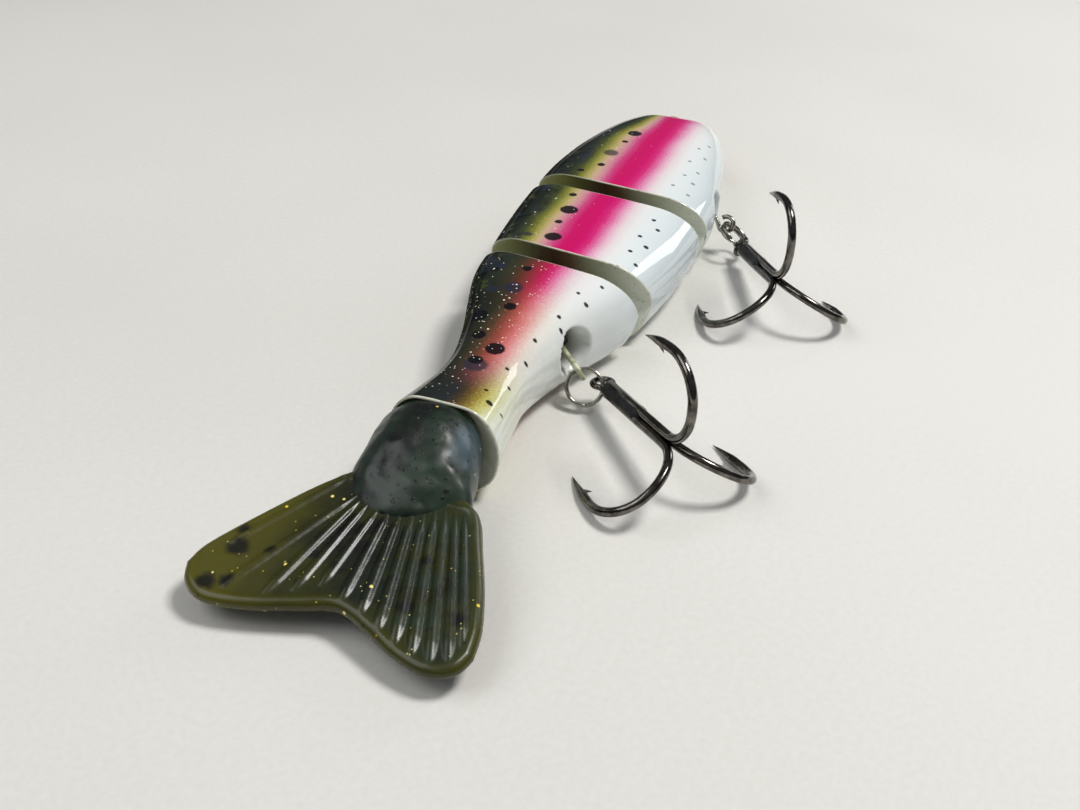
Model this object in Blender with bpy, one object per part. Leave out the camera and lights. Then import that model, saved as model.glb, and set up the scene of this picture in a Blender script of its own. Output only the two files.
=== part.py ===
"""Three-segment jointed swimbait with a soft forked tail and two treble hooks, lying on its left flank.

Station positions run along the lure in millimetres: s forward, d towards the back, z up from the surface it
lies on. Every object hangs under one empty that moves this station frame to the part's origin.
"""

import math

import bmesh
import bpy
from mathutils import Matrix, Quaternion, Vector

MM = 0.001
GAP = 0.3                      # clearance between neighbouring pieces
ORIGIN_S = 60.53               # station that becomes X = 0
ORIGIN_D = -15.74              # offset that becomes Y = 0
MID_Z = 9.3                    # height of the lure's middle plane above the surface

# Body outline: s, height above the axis, depth below it, half thickness, roundness of the section.
BODY_STATIONS = (
    (3.8, 10.0, 10.6, 9.0, 2.2),
    (10.0, 8.8, 9.4, 8.1, 2.3),
    (17.0, 7.7, 8.2, 7.4, 2.4),
    (25.0, 7.8, 7.9, 7.3, 2.5),
    (35.0, 10.0, 9.8, 8.2, 2.6),
    (45.0, 13.2, 12.9, 9.0, 2.7),
    (54.0, 16.0, 16.6, 9.3, 2.7),
    (62.0, 17.1, 18.5, 9.3, 2.7),
    (77.0, 18.8, 20.6, 9.3, 2.7),
    (90.0, 19.9, 21.2, 9.3, 2.7),
    (104.0, 20.4, 21.4, 9.3, 2.7),
    (113.0, 20.2, 20.8, 9.3, 2.7),
    (125.0, 18.8, 18.7, 9.3, 2.6),
    (137.0, 15.6, 16.2, 9.1, 2.5),
    (145.0, 11.8, 13.9, 8.4, 2.4),
    (149.0, 9.0, 12.2, 7.3, 2.3),
    (152.5, 5.8, 9.6, 5.5, 2.2),
    (154.6, 2.6, 6.2, 3.2, 2.1),
    (155.4, 0.4, 3.6, 1.2, 2.0),
)
FLANK_CLAMP = 0.90             # flanks are cut flat at this share of the section's own half thickness
SECTION_SIDES = 40

# Joints between segments: flank station of the front segment's rear edge and of the next one's front edge.
JOINT_ONE = {"front": 97.6, "rear": 92.0, "slant": 5.0, "pivot": 93.5}
JOINT_TWO = {"front": 62.6, "rear": 56.8, "slant": 6.5, "pivot": 58.2}
NOTCH_DEPTH = 4.8              # depth of the V across the joint faces
JOINT_EYE_LEVELS = {"upper": 8.5, "lower": -9.0}
JOINT_EYE_RADIUS = 2.3
JOINT_WIRE = 0.8
PIN_RADIUS = 0.8
PIN_TOP = 13.5

# Hook hardware
RING_RADIUS = 3.45
RING_WIRE = 0.4
HANGER_RADIUS = 1.9
HANGER_WIRE = 0.6
HOOK_LENGTH = 34.7             # from the eye's centre to the back of the bends
HOOK_SPREAD = 17.3             # from the shank's axis to the outside of a bend
HOOK_WIRE = 0.85
SHANK_OFFSET = 0.96            # from the treble's axis to each shank's own centre line
SHANK_POINTS = (2.7, 10.0, 18.0)  # along the shank, from the eye
BEND_START = 0.75              # share of the hook's length at which the bend leaves the shank
BEND_HALF = 9.4                # the bend's first half, measured away from the shank
SPEAR_TURN = (27.3, 7.4)       # where the bend turns back into the spear: its centre and its reach
SPEAR_POINTS = ((23.9, 0.15), (20.7, 0.55), (17.6, 1.05))  # along the shank, and in from the spread
SPEAR_RADII = (0.62, 0.08)
BARB = {"inset": 0.5, "length": 1.5, "rise": 1.0, "radius": 0.42, "tip": 0.06}
BRAZE = {"start": 3.0, "end": 15.7, "radius": 1.55}
EYE_RADIUS = 1.9
EYE_WIRE = 0.6
EYE_TAILS = ((6.0, 0.5), (3.6, 0.75))  # the eye wire's two ends, run into the brazed shank

FRONT_CHAIN = {
    "root": (113.4, -18.2, 9.1), "loop": (111.9, -23.4, 7.4), "facing": (0.88, 0.16, -0.45),
    "eye": (108.05, -28.25, 4.45), "axis": (-0.866, -0.453, 0.213), "eyeRoll": 60.0,
    "ringFacing": (0.0, 0.70, -0.80), "ringSide": 1.0,
    "pocket": (113.0, -18.2, 9.3), "pocketSize": (8.0, 6.4, 12.0),
}
REAR_CHAIN = {
    "root": (42.0, -7.8, 9.5), "loop": (39.0, -12.4, 6.8), "facing": (-0.50, 0.73, -0.41),
    "eye": (38.8, -17.5, 5.4), "axis": (-0.721, -0.672, 0.169), "eyeRoll": 0.0,
    "ringFacing": (0.78, 0.08, -0.62), "ringSide": -1.0,
    "pocket": (42.4, -7.4, 8.4), "pocketSize": (12.4, 9.0, 14.0),
}

# Soft tail
SOCKET_STATIONS = (
    (3.5, 9.7, 7.9, 8.2, 2.2),
    (0.0, 10.2, 9.1, 8.7, 2.2),
    (-4.0, 10.1, 9.7, 8.3, 2.2),
    (-8.0, 9.9, 10.0, 6.6, 2.1),
    (-10.4, 9.6, 10.0, 4.7, 2.0),
)
FIN_OUTLINE = (
    (-11.6, 10.4), (-11.6, 14.0), (-17.0, 17.4), (-24.0, 21.6), (-30.0, 24.4), (-34.0, 25.0), (-37.5, 23.4),
    (-39.4, 20.0), (-39.2, 16.0), (-36.5, 9.5), (-34.0, 3.5), (-33.3, 0.5), (-34.4, -3.5), (-37.8, -10.5),
    (-40.2, -16.0), (-40.0, -19.5), (-37.9, -22.0), (-34.0, -22.8), (-28.0, -21.5), (-18.0, -17.2),
    (-11.6, -13.9), (-11.6, -10.4),
)
FIN_HALF_ROOT = 2.6
FIN_HALF_TIP = 1.2
FIN_PIVOT = (-11.6, 8.6)       # station and height of the tail's flex line
FIN_DROOP = 9.0                # degrees below the body's middle plane at rest
PEG_RADIUS = 3.0
PEG_SPAN = (-4.6, 15.7)        # stations of the peg's two ends
KNUCKLE_REACH = 11.0           # the fin's round root edge, each way from the axis
GROOVE_REACH = 15.0
CROSS_PIN = {"setback": 6.0, "radius": 0.8, "low": -8.4, "high": 7.8, "bore": 20.0}

# Line tie, fish eyes and ballast, all on the middle plane
LINE_TIE = {"loop": (158.4, -1.5), "radius": 2.1, "wire": 0.6, "length": 17.0, "hole": (140.0, 160.0)}
FISH_EYE = {"seat": (150.3, 1.0, 6.3), "facing": (0.5, 0.1), "radius": 2.7, "crown": 2.0,
            "recess": 3.0, "floor": -1.4, "back": -1.1, "front": 0.5, "clear": 6.0}
HEAD_BALLAST = {"start": 107.0, "end": 127.0, "d": -3.8, "radius": 3.2}
MIDDLE_BALLAST = {"start": 87.0, "end": 72.0, "d": -15.0, "radius": 2.8}

COLOURS = {
    "body": ((0.82, 0.84, 0.82, 1.0), 0.12, 0.0),
    "steel": ((0.55, 0.55, 0.53, 1.0), 0.25, 1.0),
    "nickel": ((0.035, 0.034, 0.033, 1.0), 0.18, 1.0),
    "lead": ((0.22, 0.22, 0.23, 1.0), 0.6, 1.0),
    "plastic": ((0.10, 0.10, 0.10, 1.0), 0.45, 0.0),
    "iris": ((0.75, 0.55, 0.12, 1.0), 0.08, 0.0),
    "rubber": ((0.07, 0.085, 0.02, 1.0), 0.3, 0.0),
}


def clearScene():
    for obj in list(bpy.data.objects):
        bpy.data.objects.remove(obj, do_unlink=True)


def makeFrame():
    frame = bpy.data.objects.new("station_frame", None)
    frame.location = (-ORIGIN_S * MM, -ORIGIN_D * MM, 0.0)
    bpy.context.scene.collection.objects.link(frame)
    return frame


def makeMaterial(name, look):
    colour, roughness, metallic = COLOURS[look]
    material = bpy.data.materials.new(name + "_material")
    material.use_nodes = True
    shader = material.node_tree.nodes["Principled BSDF"]
    shader.inputs["Base Color"].default_value = colour
    shader.inputs["Roughness"].default_value = roughness
    shader.inputs["Metallic"].default_value = metallic
    return material


def addObject(name, mesh, frame, look, pivot=(0.0, 0.0, 0.0)):
    """Links a mesh given in station millimetres as an object whose origin is its pivot."""
    origin = Vector(pivot)
    mesh.transform(Matrix.Translation(-origin))
    mesh.transform(Matrix.Scale(MM, 4))
    obj = bpy.data.objects.new(name, mesh)
    bpy.context.scene.collection.objects.link(obj)
    obj.parent = frame
    obj.location = origin * MM
    mesh.shade_smooth()
    mesh.set_sharp_from_angle(angle=math.radians(40.0))
    if look:
        mesh.materials.clear()
        mesh.materials.append(makeMaterial(name, look))
    return obj


def addCutter(name, mesh, frame):
    obj = addObject(name, mesh, frame, None)
    obj.hide_render = True
    obj.display_type = "WIRE"
    return obj


def cut(target, cutter, operation="DIFFERENCE"):
    modifier = target.modifiers.new(cutter.name, "BOOLEAN")
    modifier.operation = operation
    modifier.object = cutter
    modifier.solver = "EXACT"


def finish(bm, name):
    bmesh.ops.recalc_face_normals(bm, faces=bm.faces[:])
    mesh = bpy.data.meshes.new(name)
    bm.to_mesh(mesh)
    bm.free()
    return mesh


def sectionPoint(angle, station):
    """A point of a flat-flanked superellipse section at an angle from the back."""
    s, up, down, half, power = station
    cosine, sine = math.cos(angle), math.sin(angle)
    reach = up if cosine > 0.0 else down
    d = math.copysign(abs(cosine) ** (2.0 / power), cosine) * reach
    v = abs(sine) ** (2.0 / power) * half / FLANK_CLAMP
    return Vector((s, d, MID_Z + math.copysign(min(v, half), sine)))


def bridgeRings(bm, rings):
    """Skins a row of equal rings of vertices and caps both ends."""
    for ring in rings:
        for first, second in zip(ring, ring[1:] + ring[:1]):
            bm.edges.new((first, second))
    for ahead, behind in zip(rings, rings[1:]):
        edges = [edge for edge in bm.edges if not edge.link_faces
                 or len(edge.link_faces) == 1]
        wanted = set(ahead) | set(behind)
        loops = [edge for edge in edges if edge.verts[0] in wanted and edge.verts[1] in wanted]
        bmesh.ops.bridge_loops(bm, edges=loops)
    bm.faces.new(rings[0])
    bm.faces.new(rings[-1])


def loft(name, stations, sides=SECTION_SIDES):
    bm = bmesh.new()
    rings = []
    for station in stations:
        turn = 2.0 * math.pi / sides
        rings.append([bm.verts.new(sectionPoint((i + 0.5) * turn, station)) for i in range(sides)])
    bridgeRings(bm, rings)
    return finish(bm, name)


def stationAt(s, stations=BODY_STATIONS):
    """The body's section between two named stations, on a straight line between them."""
    for first, second in zip(stations, stations[1:]):
        if first[0] <= s <= second[0]:
            share = (s - first[0]) / (second[0] - first[0])
            return tuple(a + (b - a) * share for a, b in zip(first, second))
    return stations[0] if s < stations[0][0] else stations[-1]


def bodyMesh(name, start, end):
    inner = [row for row in BODY_STATIONS if start < row[0] < end]
    rows = [stationAt(start)] + inner + [stationAt(end)]
    return loft(name, rows)


def wedgeMesh(name, edge, slant, towards, half=9.3, far=40.0, reach=20.0):
    """A block that leaves a V face: its apex lies NOTCH_DEPTH ahead of the flank edge."""
    run = NOTCH_DEPTH * reach / half
    apex = edge + NOTCH_DEPTH
    profile = [(apex - run, MID_Z - reach), (apex, MID_Z), (apex - run, MID_Z + reach),
               (apex + towards * far, MID_Z + reach), (apex + towards * far, MID_Z - reach)]
    bm = bmesh.new()
    face = bm.faces.new([bm.verts.new((s, -30.0, z)) for s, z in profile])
    moved = bmesh.ops.extrude_face_region(bm, geom=[face])
    bmesh.ops.translate(bm, verts=[v for v in moved["geom"] if isinstance(v, bmesh.types.BMVert)],
                        vec=(0.0, 60.0, 0.0))
    for vert in bm.verts:
        vert.co.x += vert.co.y * math.tan(math.radians(slant))
    return finish(bm, name)


def boxMesh(name, centre, size):
    bm = bmesh.new()
    bmesh.ops.create_cube(bm, size=1.0, matrix=Matrix.Translation(centre) @ Matrix.Diagonal((*size, 1.0)))
    return finish(bm, name)


def rodMesh(name, start, end, radius, sides=16, endRadius=None):
    start, end = Vector(start), Vector(end)
    run = end - start
    turn = run.to_track_quat("Z", "Y").to_matrix().to_4x4()
    place = Matrix.Translation((start + end) / 2.0) @ turn
    bm = bmesh.new()
    bmesh.ops.create_cone(bm, cap_ends=True, segments=sides, radius1=radius,
                          radius2=radius if endRadius is None else endRadius, depth=run.length, matrix=place)
    return finish(bm, name)


def tubeMesh(name, points, radii, sides=8, closed=False):
    """A round wire along a row of points, with the section carried along without twist."""
    points = [Vector(p) for p in points]
    count = len(points)
    if not isinstance(radii, (list, tuple)):
        radii = [radii] * count
    tangents = []
    for i in range(count):
        before = points[i - 1] if i or closed else points[0]
        after = points[(i + 1) % count] if i < count - 1 or closed else points[-1]
        tangents.append((after - before).normalized())
    side = tangents[0].orthogonal().normalized()
    bm = bmesh.new()
    rings = []
    for point, tangent, radius in zip(points, tangents, radii):
        side = (side - tangent * side.dot(tangent)).normalized()
        other = tangent.cross(side)
        turn = 2.0 * math.pi / sides
        rings.append([bm.verts.new(point + side * math.cos(i * turn) * radius + other * math.sin(i * turn) * radius)
                      for i in range(sides)])
    bridgeRings(bm, rings)
    return finish(bm, name)


def basis(main, facing):
    """Three unit directions: along main, the facing direction made square to it, and their cross."""
    main = Vector(main).normalized()
    facing = Vector(facing)
    facing = (facing - main * facing.dot(main)).normalized()
    return main, facing, main.cross(facing)


def arc(centre, first, second, radius, start, end, steps):
    """Points on a circle spanned by two unit directions."""
    points = []
    for i in range(steps + 1):
        angle = math.radians(start + (end - start) * i / steps)
        points.append(centre + first * math.cos(angle) * radius + second * math.sin(angle) * radius)
    return points


def screwEyePoints(centre, shank, facing, radius, length):
    """A wire eye: a loop round centre, and a straight shank leaving along shank."""
    main, _, across = basis(shank, facing)
    loop = arc(centre, main, across, radius, 330.0, 35.0, 18)
    return loop + [centre + main * (radius + 1.1), centre + main * length]


def joinMeshes(name, meshes):
    """One closed body from overlapping closed meshes, joined by exact unions."""
    scratch = []
    for i, mesh in enumerate(meshes):
        obj = bpy.data.objects.new(name + "_piece" + str(i), mesh)
        bpy.context.scene.collection.objects.link(obj)
        scratch.append(obj)
    base = scratch[0]
    for other in scratch[1:]:
        cut(base, other, "UNION")
    graph = bpy.context.evaluated_depsgraph_get()
    joined = bpy.data.meshes.new_from_object(base.evaluated_get(graph))
    for obj in scratch:
        bpy.data.objects.remove(obj, do_unlink=True)
    return joined


def hookPoints(eye, main, outwards):
    """Centre line of one hook: straight shank, round bend, and a point turned slightly in."""
    bendStart = BEND_START * HOOK_LENGTH
    lead = HOOK_LENGTH - bendStart
    middle = SHANK_OFFSET + BEND_HALF
    turnStart, turnReach = SPEAR_TURN
    quarter = [math.radians(90.0 * i / 5.0) for i in range(1, 6)]
    plan = [(along, SHANK_OFFSET) for along in SHANK_POINTS + (bendStart,)]
    plan += [(bendStart + lead * math.sin(angle), middle - BEND_HALF * math.cos(angle)) for angle in quarter]
    plan += [(turnStart + turnReach * math.cos(angle), middle + (HOOK_SPREAD - middle) * math.sin(angle))
             for angle in quarter]
    plan += [(along, HOOK_SPREAD - inset) for along, inset in SPEAR_POINTS]
    return [eye + main * along + outwards * away for along, away in plan]


def trebleMesh(name, chain):
    eye = Vector(chain["eye"])
    main, up, across = basis(chain["axis"], (0.0, 0.0, 1.0))
    pieces = []
    for turn in (0.0, 120.0, 240.0):
        outwards = Quaternion(main, math.radians(turn)) @ up
        points = hookPoints(eye, main, outwards)
        radii = [HOOK_WIRE] * (len(points) - 2) + list(SPEAR_RADII)
        pieces.append(tubeMesh(name, points, radii))
        barbRoot = points[-3].lerp(points[-2], 0.5) - outwards * BARB["inset"]
        back = (points[-3] - points[-1]).normalized()
        barbTip = barbRoot + back * BARB["length"] - outwards * BARB["rise"]
        pieces.append(rodMesh(name, barbRoot, barbTip, BARB["radius"], 6, BARB["tip"]))
    pieces.append(rodMesh(name, eye + main * BRAZE["start"], eye + main * BRAZE["end"], BRAZE["radius"], 12))
    eyeFacing = Quaternion(main, math.radians(chain["eyeRoll"])) @ up
    _, facing, side = basis(main, eyeFacing)
    loop = arc(eye, main, side, EYE_RADIUS, 45.0, 315.0, 16)
    loop = [eye + main * along + side * away for along, away in EYE_TAILS] + loop
    loop += [eye + main * along - side * away for along, away in reversed(EYE_TAILS)]
    pieces.append(tubeMesh(name, loop, EYE_WIRE))
    return joinMeshes(name, pieces)


def ringPlace(chain):
    """Centre and two in-plane directions of the split ring that passes through both eyes' centres."""
    hanger, eye = Vector(chain["loop"]), Vector(chain["eye"])
    half = (eye - hanger) / 2.0
    along, facing, _ = basis(half, chain["ringFacing"])
    sideways = facing.cross(along)
    rise = math.sqrt(max(RING_RADIUS ** 2 - half.length_squared, 0.0))
    centre = hanger + half - sideways * rise * chain["ringSide"]
    return centre, along, sideways, facing


def ringMesh(name, chain):
    """Two close turns of wire, with the ends stepping from one turn to the other."""
    centre, along, sideways, facing = ringPlace(chain)
    pitch = 2.0 * RING_WIRE + 0.06
    steps = 44
    points = []
    for i in range(steps + 1):
        share = i / steps
        angle = math.radians(60.0 + 700.0 * share)
        blend = min(max((share - 0.44) / 0.12, 0.0), 1.0)
        rise = (blend - 0.5) * pitch
        flat = along * math.cos(angle) + sideways * math.sin(angle)
        points.append(centre + flat * RING_RADIUS + facing * rise)
    return tubeMesh(name, points, RING_WIRE, 6)


def ovalPocket(name, floor, size):
    """An oval cutter that opens towards the belly: its floor's centre, then its length, width and depth."""
    bm = bmesh.new()
    length, width, depth = size
    place = Matrix.Translation(Vector(floor) - Vector((0.0, depth / 2.0, 0.0)))
    shape = Matrix.Diagonal((length / 2.0, depth, width / 2.0, 1.0)) @ Matrix.Rotation(math.pi / 2.0, 4, "X")
    bmesh.ops.create_cone(bm, cap_ends=True, segments=24, radius1=1.0, radius2=1.0, depth=1.0,
                          matrix=place @ shape)
    return finish(bm, name)


def hangerDirections(chain):
    root, loop = Vector(chain["root"]), Vector(chain["loop"])
    return basis(root - loop, chain["facing"])


def hookChain(prefix, chain, body, frame):
    """Hanger, socket cup, split ring and treble, with the recess and the bore they need in the body."""
    root, loop = Vector(chain["root"]), Vector(chain["loop"])
    main, facing, across = hangerDirections(chain)
    length = (root - loop).length
    inner = loop + main * (length + 4.0)
    recess = ovalPocket("recess", chain["pocket"], chain["pocketSize"])
    bore = rodMesh("bore", root - main * 1.0, root + main * 6.5, 1.9, 16)
    for kind, mesh in (("recess", recess), ("bore", bore)):
        cut(body, addCutter(prefix + "_" + kind, mesh, frame))
    points = screwEyePoints(loop, main, facing, HANGER_RADIUS, length + 4.0)
    hanger = joinMeshes("hanger", [tubeMesh("hanger", points, HANGER_WIRE),
                                   rodMesh("head", inner - main * 0.2, inner + main * 0.8, 1.1, 12)])
    addObject(prefix + "_hanger", hanger, frame, "steel", root)
    cup = rodMesh("cup", root + main * GAP, root + main * 3.4, 1.9 - GAP / 2, 16)
    cupObject = addObject(prefix + "_socket", cup, frame, "plastic", root)
    hole = rodMesh("hole", root - main * 1.0, root + main * 5.0, HANGER_WIRE + GAP, 12)
    cut(cupObject, addCutter(prefix + "_socket_hole", hole, frame))
    addObject(prefix + "_split_ring", ringMesh("ring", chain), frame, "steel", loop)
    addObject(prefix + "_treble", trebleMesh("treble", chain), frame, "nickel", chain["eye"])


def segmentJoint(prefix, joint, ahead, behind, frame):
    """Two screw eyes from the segment ahead, held by a pin in slots of the segment behind."""
    pivot = joint["pivot"]
    low = -stationAt(pivot)[2]
    bore = rodMesh("bore", (pivot, low - 4.0, MID_Z), (pivot, PIN_TOP + GAP, MID_Z), PIN_RADIUS + GAP, 12)
    cut(behind, addCutter(prefix + "_pin_bore", bore, frame))
    pin = rodMesh("pin", (pivot, low + 1.0, MID_Z), (pivot, PIN_TOP, MID_Z), PIN_RADIUS, 12)
    addObject(prefix + "_pin", pin, frame, "steel", (pivot, 0.0, MID_Z))
    for level, d in JOINT_EYE_LEVELS.items():
        face = joint["front"] + NOTCH_DEPTH + d * math.tan(math.radians(joint["slant"]))
        shankEnd = face - pivot + 9.0
        slotReach = JOINT_EYE_RADIUS + JOINT_WIRE + 0.6
        slot = boxMesh("slot", (pivot + 3.0, d, MID_Z),
                       (2.0 * slotReach + 6.0, 2.0 * JOINT_WIRE + 2.0 * GAP, 2.0 * slotReach))
        cut(behind, addCutter(prefix + "_slot_" + level, slot, frame))
        hole = rodMesh("hole", (face - 3.0, d, MID_Z), (pivot + shankEnd + GAP, d, MID_Z), JOINT_WIRE + GAP, 12)
        cut(ahead, addCutter(prefix + "_screw_hole_" + level, hole, frame))
        points = screwEyePoints(Vector((pivot, d, MID_Z)), (1.0, 0.0, 0.0), (0.0, 1.0, 0.0),
                                JOINT_EYE_RADIUS, shankEnd)
        addObject(prefix + "_eye_" + level, tubeMesh("eye", points, JOINT_WIRE), frame, "steel",
                  (pivot, d, MID_Z))


def ballast(name, body, slug, frame):
    """A lead slug from its open end, start, to its blind end, in a bore that runs out of a joint face."""
    start, end, d, radius = slug["start"], slug["end"], slug["d"], slug["radius"]
    onward = math.copysign(1.0, end - start)
    bore = rodMesh("bore", (start - onward * 20.0, d, MID_Z), (end + onward * GAP, d, MID_Z), radius + GAP, 16)
    cut(body, addCutter(name + "_bore", bore, frame))
    addObject(name, rodMesh("slug", (start, d, MID_Z), (end, d, MID_Z), radius, 16), frame, "lead")


def makeHead(frame):
    joint = JOINT_ONE
    start = joint["front"] - 12.0
    body = addObject("head_body", bodyMesh("head", start, BODY_STATIONS[-1][0]), frame, "body")
    cut(body, addCutter("head_rear_cut", wedgeMesh("cut", joint["front"], joint["slant"], -1.0), frame))
    station, level = LINE_TIE["loop"]
    inner, outer = LINE_TIE["hole"]
    hole = rodMesh("hole", (inner, level, MID_Z), (outer, level, MID_Z), LINE_TIE["wire"] + GAP, 12)
    cut(body, addCutter("line_tie_hole", hole, frame))
    points = screwEyePoints(Vector((station, level, MID_Z)), (-1.0, 0.0, 0.0), (0.0, 0.0, 1.0),
                            LINE_TIE["radius"], LINE_TIE["length"])
    addObject("line_tie", tubeMesh("tie", points, LINE_TIE["wire"]), frame, "steel")
    for side, sign in (("right", 1.0), ("left", -1.0)):
        outwards = Vector((*FISH_EYE["facing"], sign)).normalized()
        s, d, away = FISH_EYE["seat"]
        seat = Vector((s, d, MID_Z + sign * away))
        recess = rodMesh("recess", seat + outwards * FISH_EYE["floor"], seat + outwards * FISH_EYE["clear"],
                         FISH_EYE["recess"], 24)
        cut(body, addCutter("eye_recess_" + side, recess, frame))
        eye = rodMesh("eye", seat + outwards * FISH_EYE["back"], seat + outwards * FISH_EYE["front"],
                      FISH_EYE["radius"], 24, FISH_EYE["crown"])
        addObject("fish_eye_" + side, eye, frame, "iris")
    ballast("head_ballast", body, HEAD_BALLAST, frame)
    return body


def makeMiddle(frame):
    body = addObject("middle_body", bodyMesh("middle", JOINT_TWO["front"] - 10.0, JOINT_ONE["rear"] + 12.0),
                     frame, "body", (JOINT_ONE["pivot"], 0.0, MID_Z))
    cut(body, addCutter("middle_front_cut", wedgeMesh("cut", JOINT_ONE["rear"], JOINT_ONE["slant"], 1.0), frame))
    cut(body, addCutter("middle_rear_cut", wedgeMesh("cut", JOINT_TWO["front"], JOINT_TWO["slant"], -1.0), frame))
    ballast("middle_ballast", body, MIDDLE_BALLAST, frame)
    return body


def makeRear(frame):
    body = addObject("rear_body", bodyMesh("rear", BODY_STATIONS[0][0], JOINT_TWO["rear"] + 12.0),
                     frame, "body", (JOINT_TWO["pivot"], 0.0, MID_Z))
    cut(body, addCutter("rear_front_cut", wedgeMesh("cut", JOINT_TWO["rear"], JOINT_TWO["slant"], 1.0), frame))
    return body


def finMesh(name):
    """The forked fin: its outline as one face, thickened towards the root, then tipped down to rest."""
    bm = bmesh.new()
    face = bm.faces.new([bm.verts.new((s, d, 0.0)) for s, d in FIN_OUTLINE])
    moved = bmesh.ops.extrude_face_region(bm, geom=[face])
    upper = [v for v in moved["geom"] if isinstance(v, bmesh.types.BMVert)]
    root, tip = FIN_OUTLINE[0][0], min(s for s, _ in FIN_OUTLINE)
    for vert in bm.verts:
        share = (vert.co.x - root) / (tip - root)
        half = FIN_HALF_ROOT + (FIN_HALF_TIP - FIN_HALF_ROOT) * math.sqrt(max(share, 0.0))
        vert.co.z = half if vert in upper else -half
    station, height = FIN_PIVOT
    tilt = Matrix.Rotation(math.radians(-FIN_DROOP), 4, "Y")
    place = Matrix.Translation((station, 0.0, height)) @ tilt @ Matrix.Translation((-station, 0.0, 0.0))
    bmesh.ops.transform(bm, matrix=place, verts=bm.verts[:])
    bmesh.ops.triangulate(bm, faces=bm.faces[:])
    knuckle = rodMesh("knuckle", (station, -KNUCKLE_REACH, height), (station, KNUCKLE_REACH, height),
                      FIN_HALF_ROOT, 16)
    return joinMeshes(name, [finish(bm, name), knuckle])


def makeTail(rear, frame):
    rim = BODY_STATIONS[0][0]
    socket = addObject("tail_socket", loft("socket", SOCKET_STATIONS, 32), frame, "rubber")
    pegBore = rodMesh("bore", (PEG_SPAN[0] - GAP, 0.0, MID_Z), (PEG_SPAN[1] + GAP, 0.0, MID_Z), PEG_RADIUS + GAP, 20)
    station, height = FIN_PIVOT
    groove = rodMesh("groove", (station, -GROOVE_REACH, height), (station, GROOVE_REACH, height),
                     FIN_HALF_ROOT + GAP, 16)
    cut(socket, addCutter("tail_groove", groove, frame))
    cutter = addCutter("tail_peg_bore", pegBore, frame)
    cut(rear, cutter)
    cut(socket, cutter)
    peg = addObject("tail_peg", rodMesh("peg", (PEG_SPAN[0], 0.0, MID_Z), (PEG_SPAN[1], 0.0, MID_Z), PEG_RADIUS, 20),
                    frame, "plastic")
    across, radius = rim + CROSS_PIN["setback"], CROSS_PIN["radius"]
    crossBore = rodMesh("cross", (across, -CROSS_PIN["bore"], MID_Z), (across, CROSS_PIN["bore"], MID_Z),
                        radius + GAP, 12)
    cutter = addCutter("tail_pin_bore", crossBore, frame)
    cut(rear, cutter)
    cut(peg, cutter)
    addObject("tail_pin", rodMesh("pin", (across, CROSS_PIN["low"], MID_Z), (across, CROSS_PIN["high"], MID_Z),
                                  radius, 12), frame, "steel")
    addObject("tail_fin", finMesh("fin"), frame, "rubber", (FIN_PIVOT[0], 0.0, FIN_PIVOT[1]))


def main():
    clearScene()
    frame = makeFrame()
    head = makeHead(frame)
    middle = makeMiddle(frame)
    rear = makeRear(frame)
    segmentJoint("front_joint", JOINT_ONE, head, middle, frame)
    segmentJoint("rear_joint", JOINT_TWO, middle, rear, frame)
    hookChain("front", FRONT_CHAIN, head, frame)
    hookChain("rear", REAR_CHAIN, rear, frame)
    makeTail(rear, frame)


main()
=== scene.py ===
import math
from bisect import bisect_right

import bmesh
import bpy
from mathutils import Matrix, Quaternion, Vector, noise


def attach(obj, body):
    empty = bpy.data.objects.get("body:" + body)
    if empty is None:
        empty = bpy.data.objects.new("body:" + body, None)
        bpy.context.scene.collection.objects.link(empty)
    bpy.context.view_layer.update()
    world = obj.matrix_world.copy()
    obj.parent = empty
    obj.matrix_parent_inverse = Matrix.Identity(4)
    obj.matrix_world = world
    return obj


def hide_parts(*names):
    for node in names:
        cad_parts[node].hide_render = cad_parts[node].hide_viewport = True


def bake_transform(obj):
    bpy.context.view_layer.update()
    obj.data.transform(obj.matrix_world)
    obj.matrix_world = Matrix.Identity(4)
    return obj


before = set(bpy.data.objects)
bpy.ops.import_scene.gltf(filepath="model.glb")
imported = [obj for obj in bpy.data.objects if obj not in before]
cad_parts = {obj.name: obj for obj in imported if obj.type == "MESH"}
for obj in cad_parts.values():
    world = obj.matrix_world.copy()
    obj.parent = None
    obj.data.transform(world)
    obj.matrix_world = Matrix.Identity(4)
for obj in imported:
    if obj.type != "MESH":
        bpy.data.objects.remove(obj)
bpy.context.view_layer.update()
print("frame loaded:", len(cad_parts), "nodes")

# The lure is modelled in millimetres: s forward, d towards the back, z up from the table.
lure = {"originS": 60.53, "originD": -15.74, "midZ": 9.3}
midZ = lure["midZ"]
toPart = (Matrix.Diagonal((0.001, 0.001, 0.001, 1.0))
          @ Matrix.Translation((-lure["originS"], -lure["originD"], 0.0)))


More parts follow.
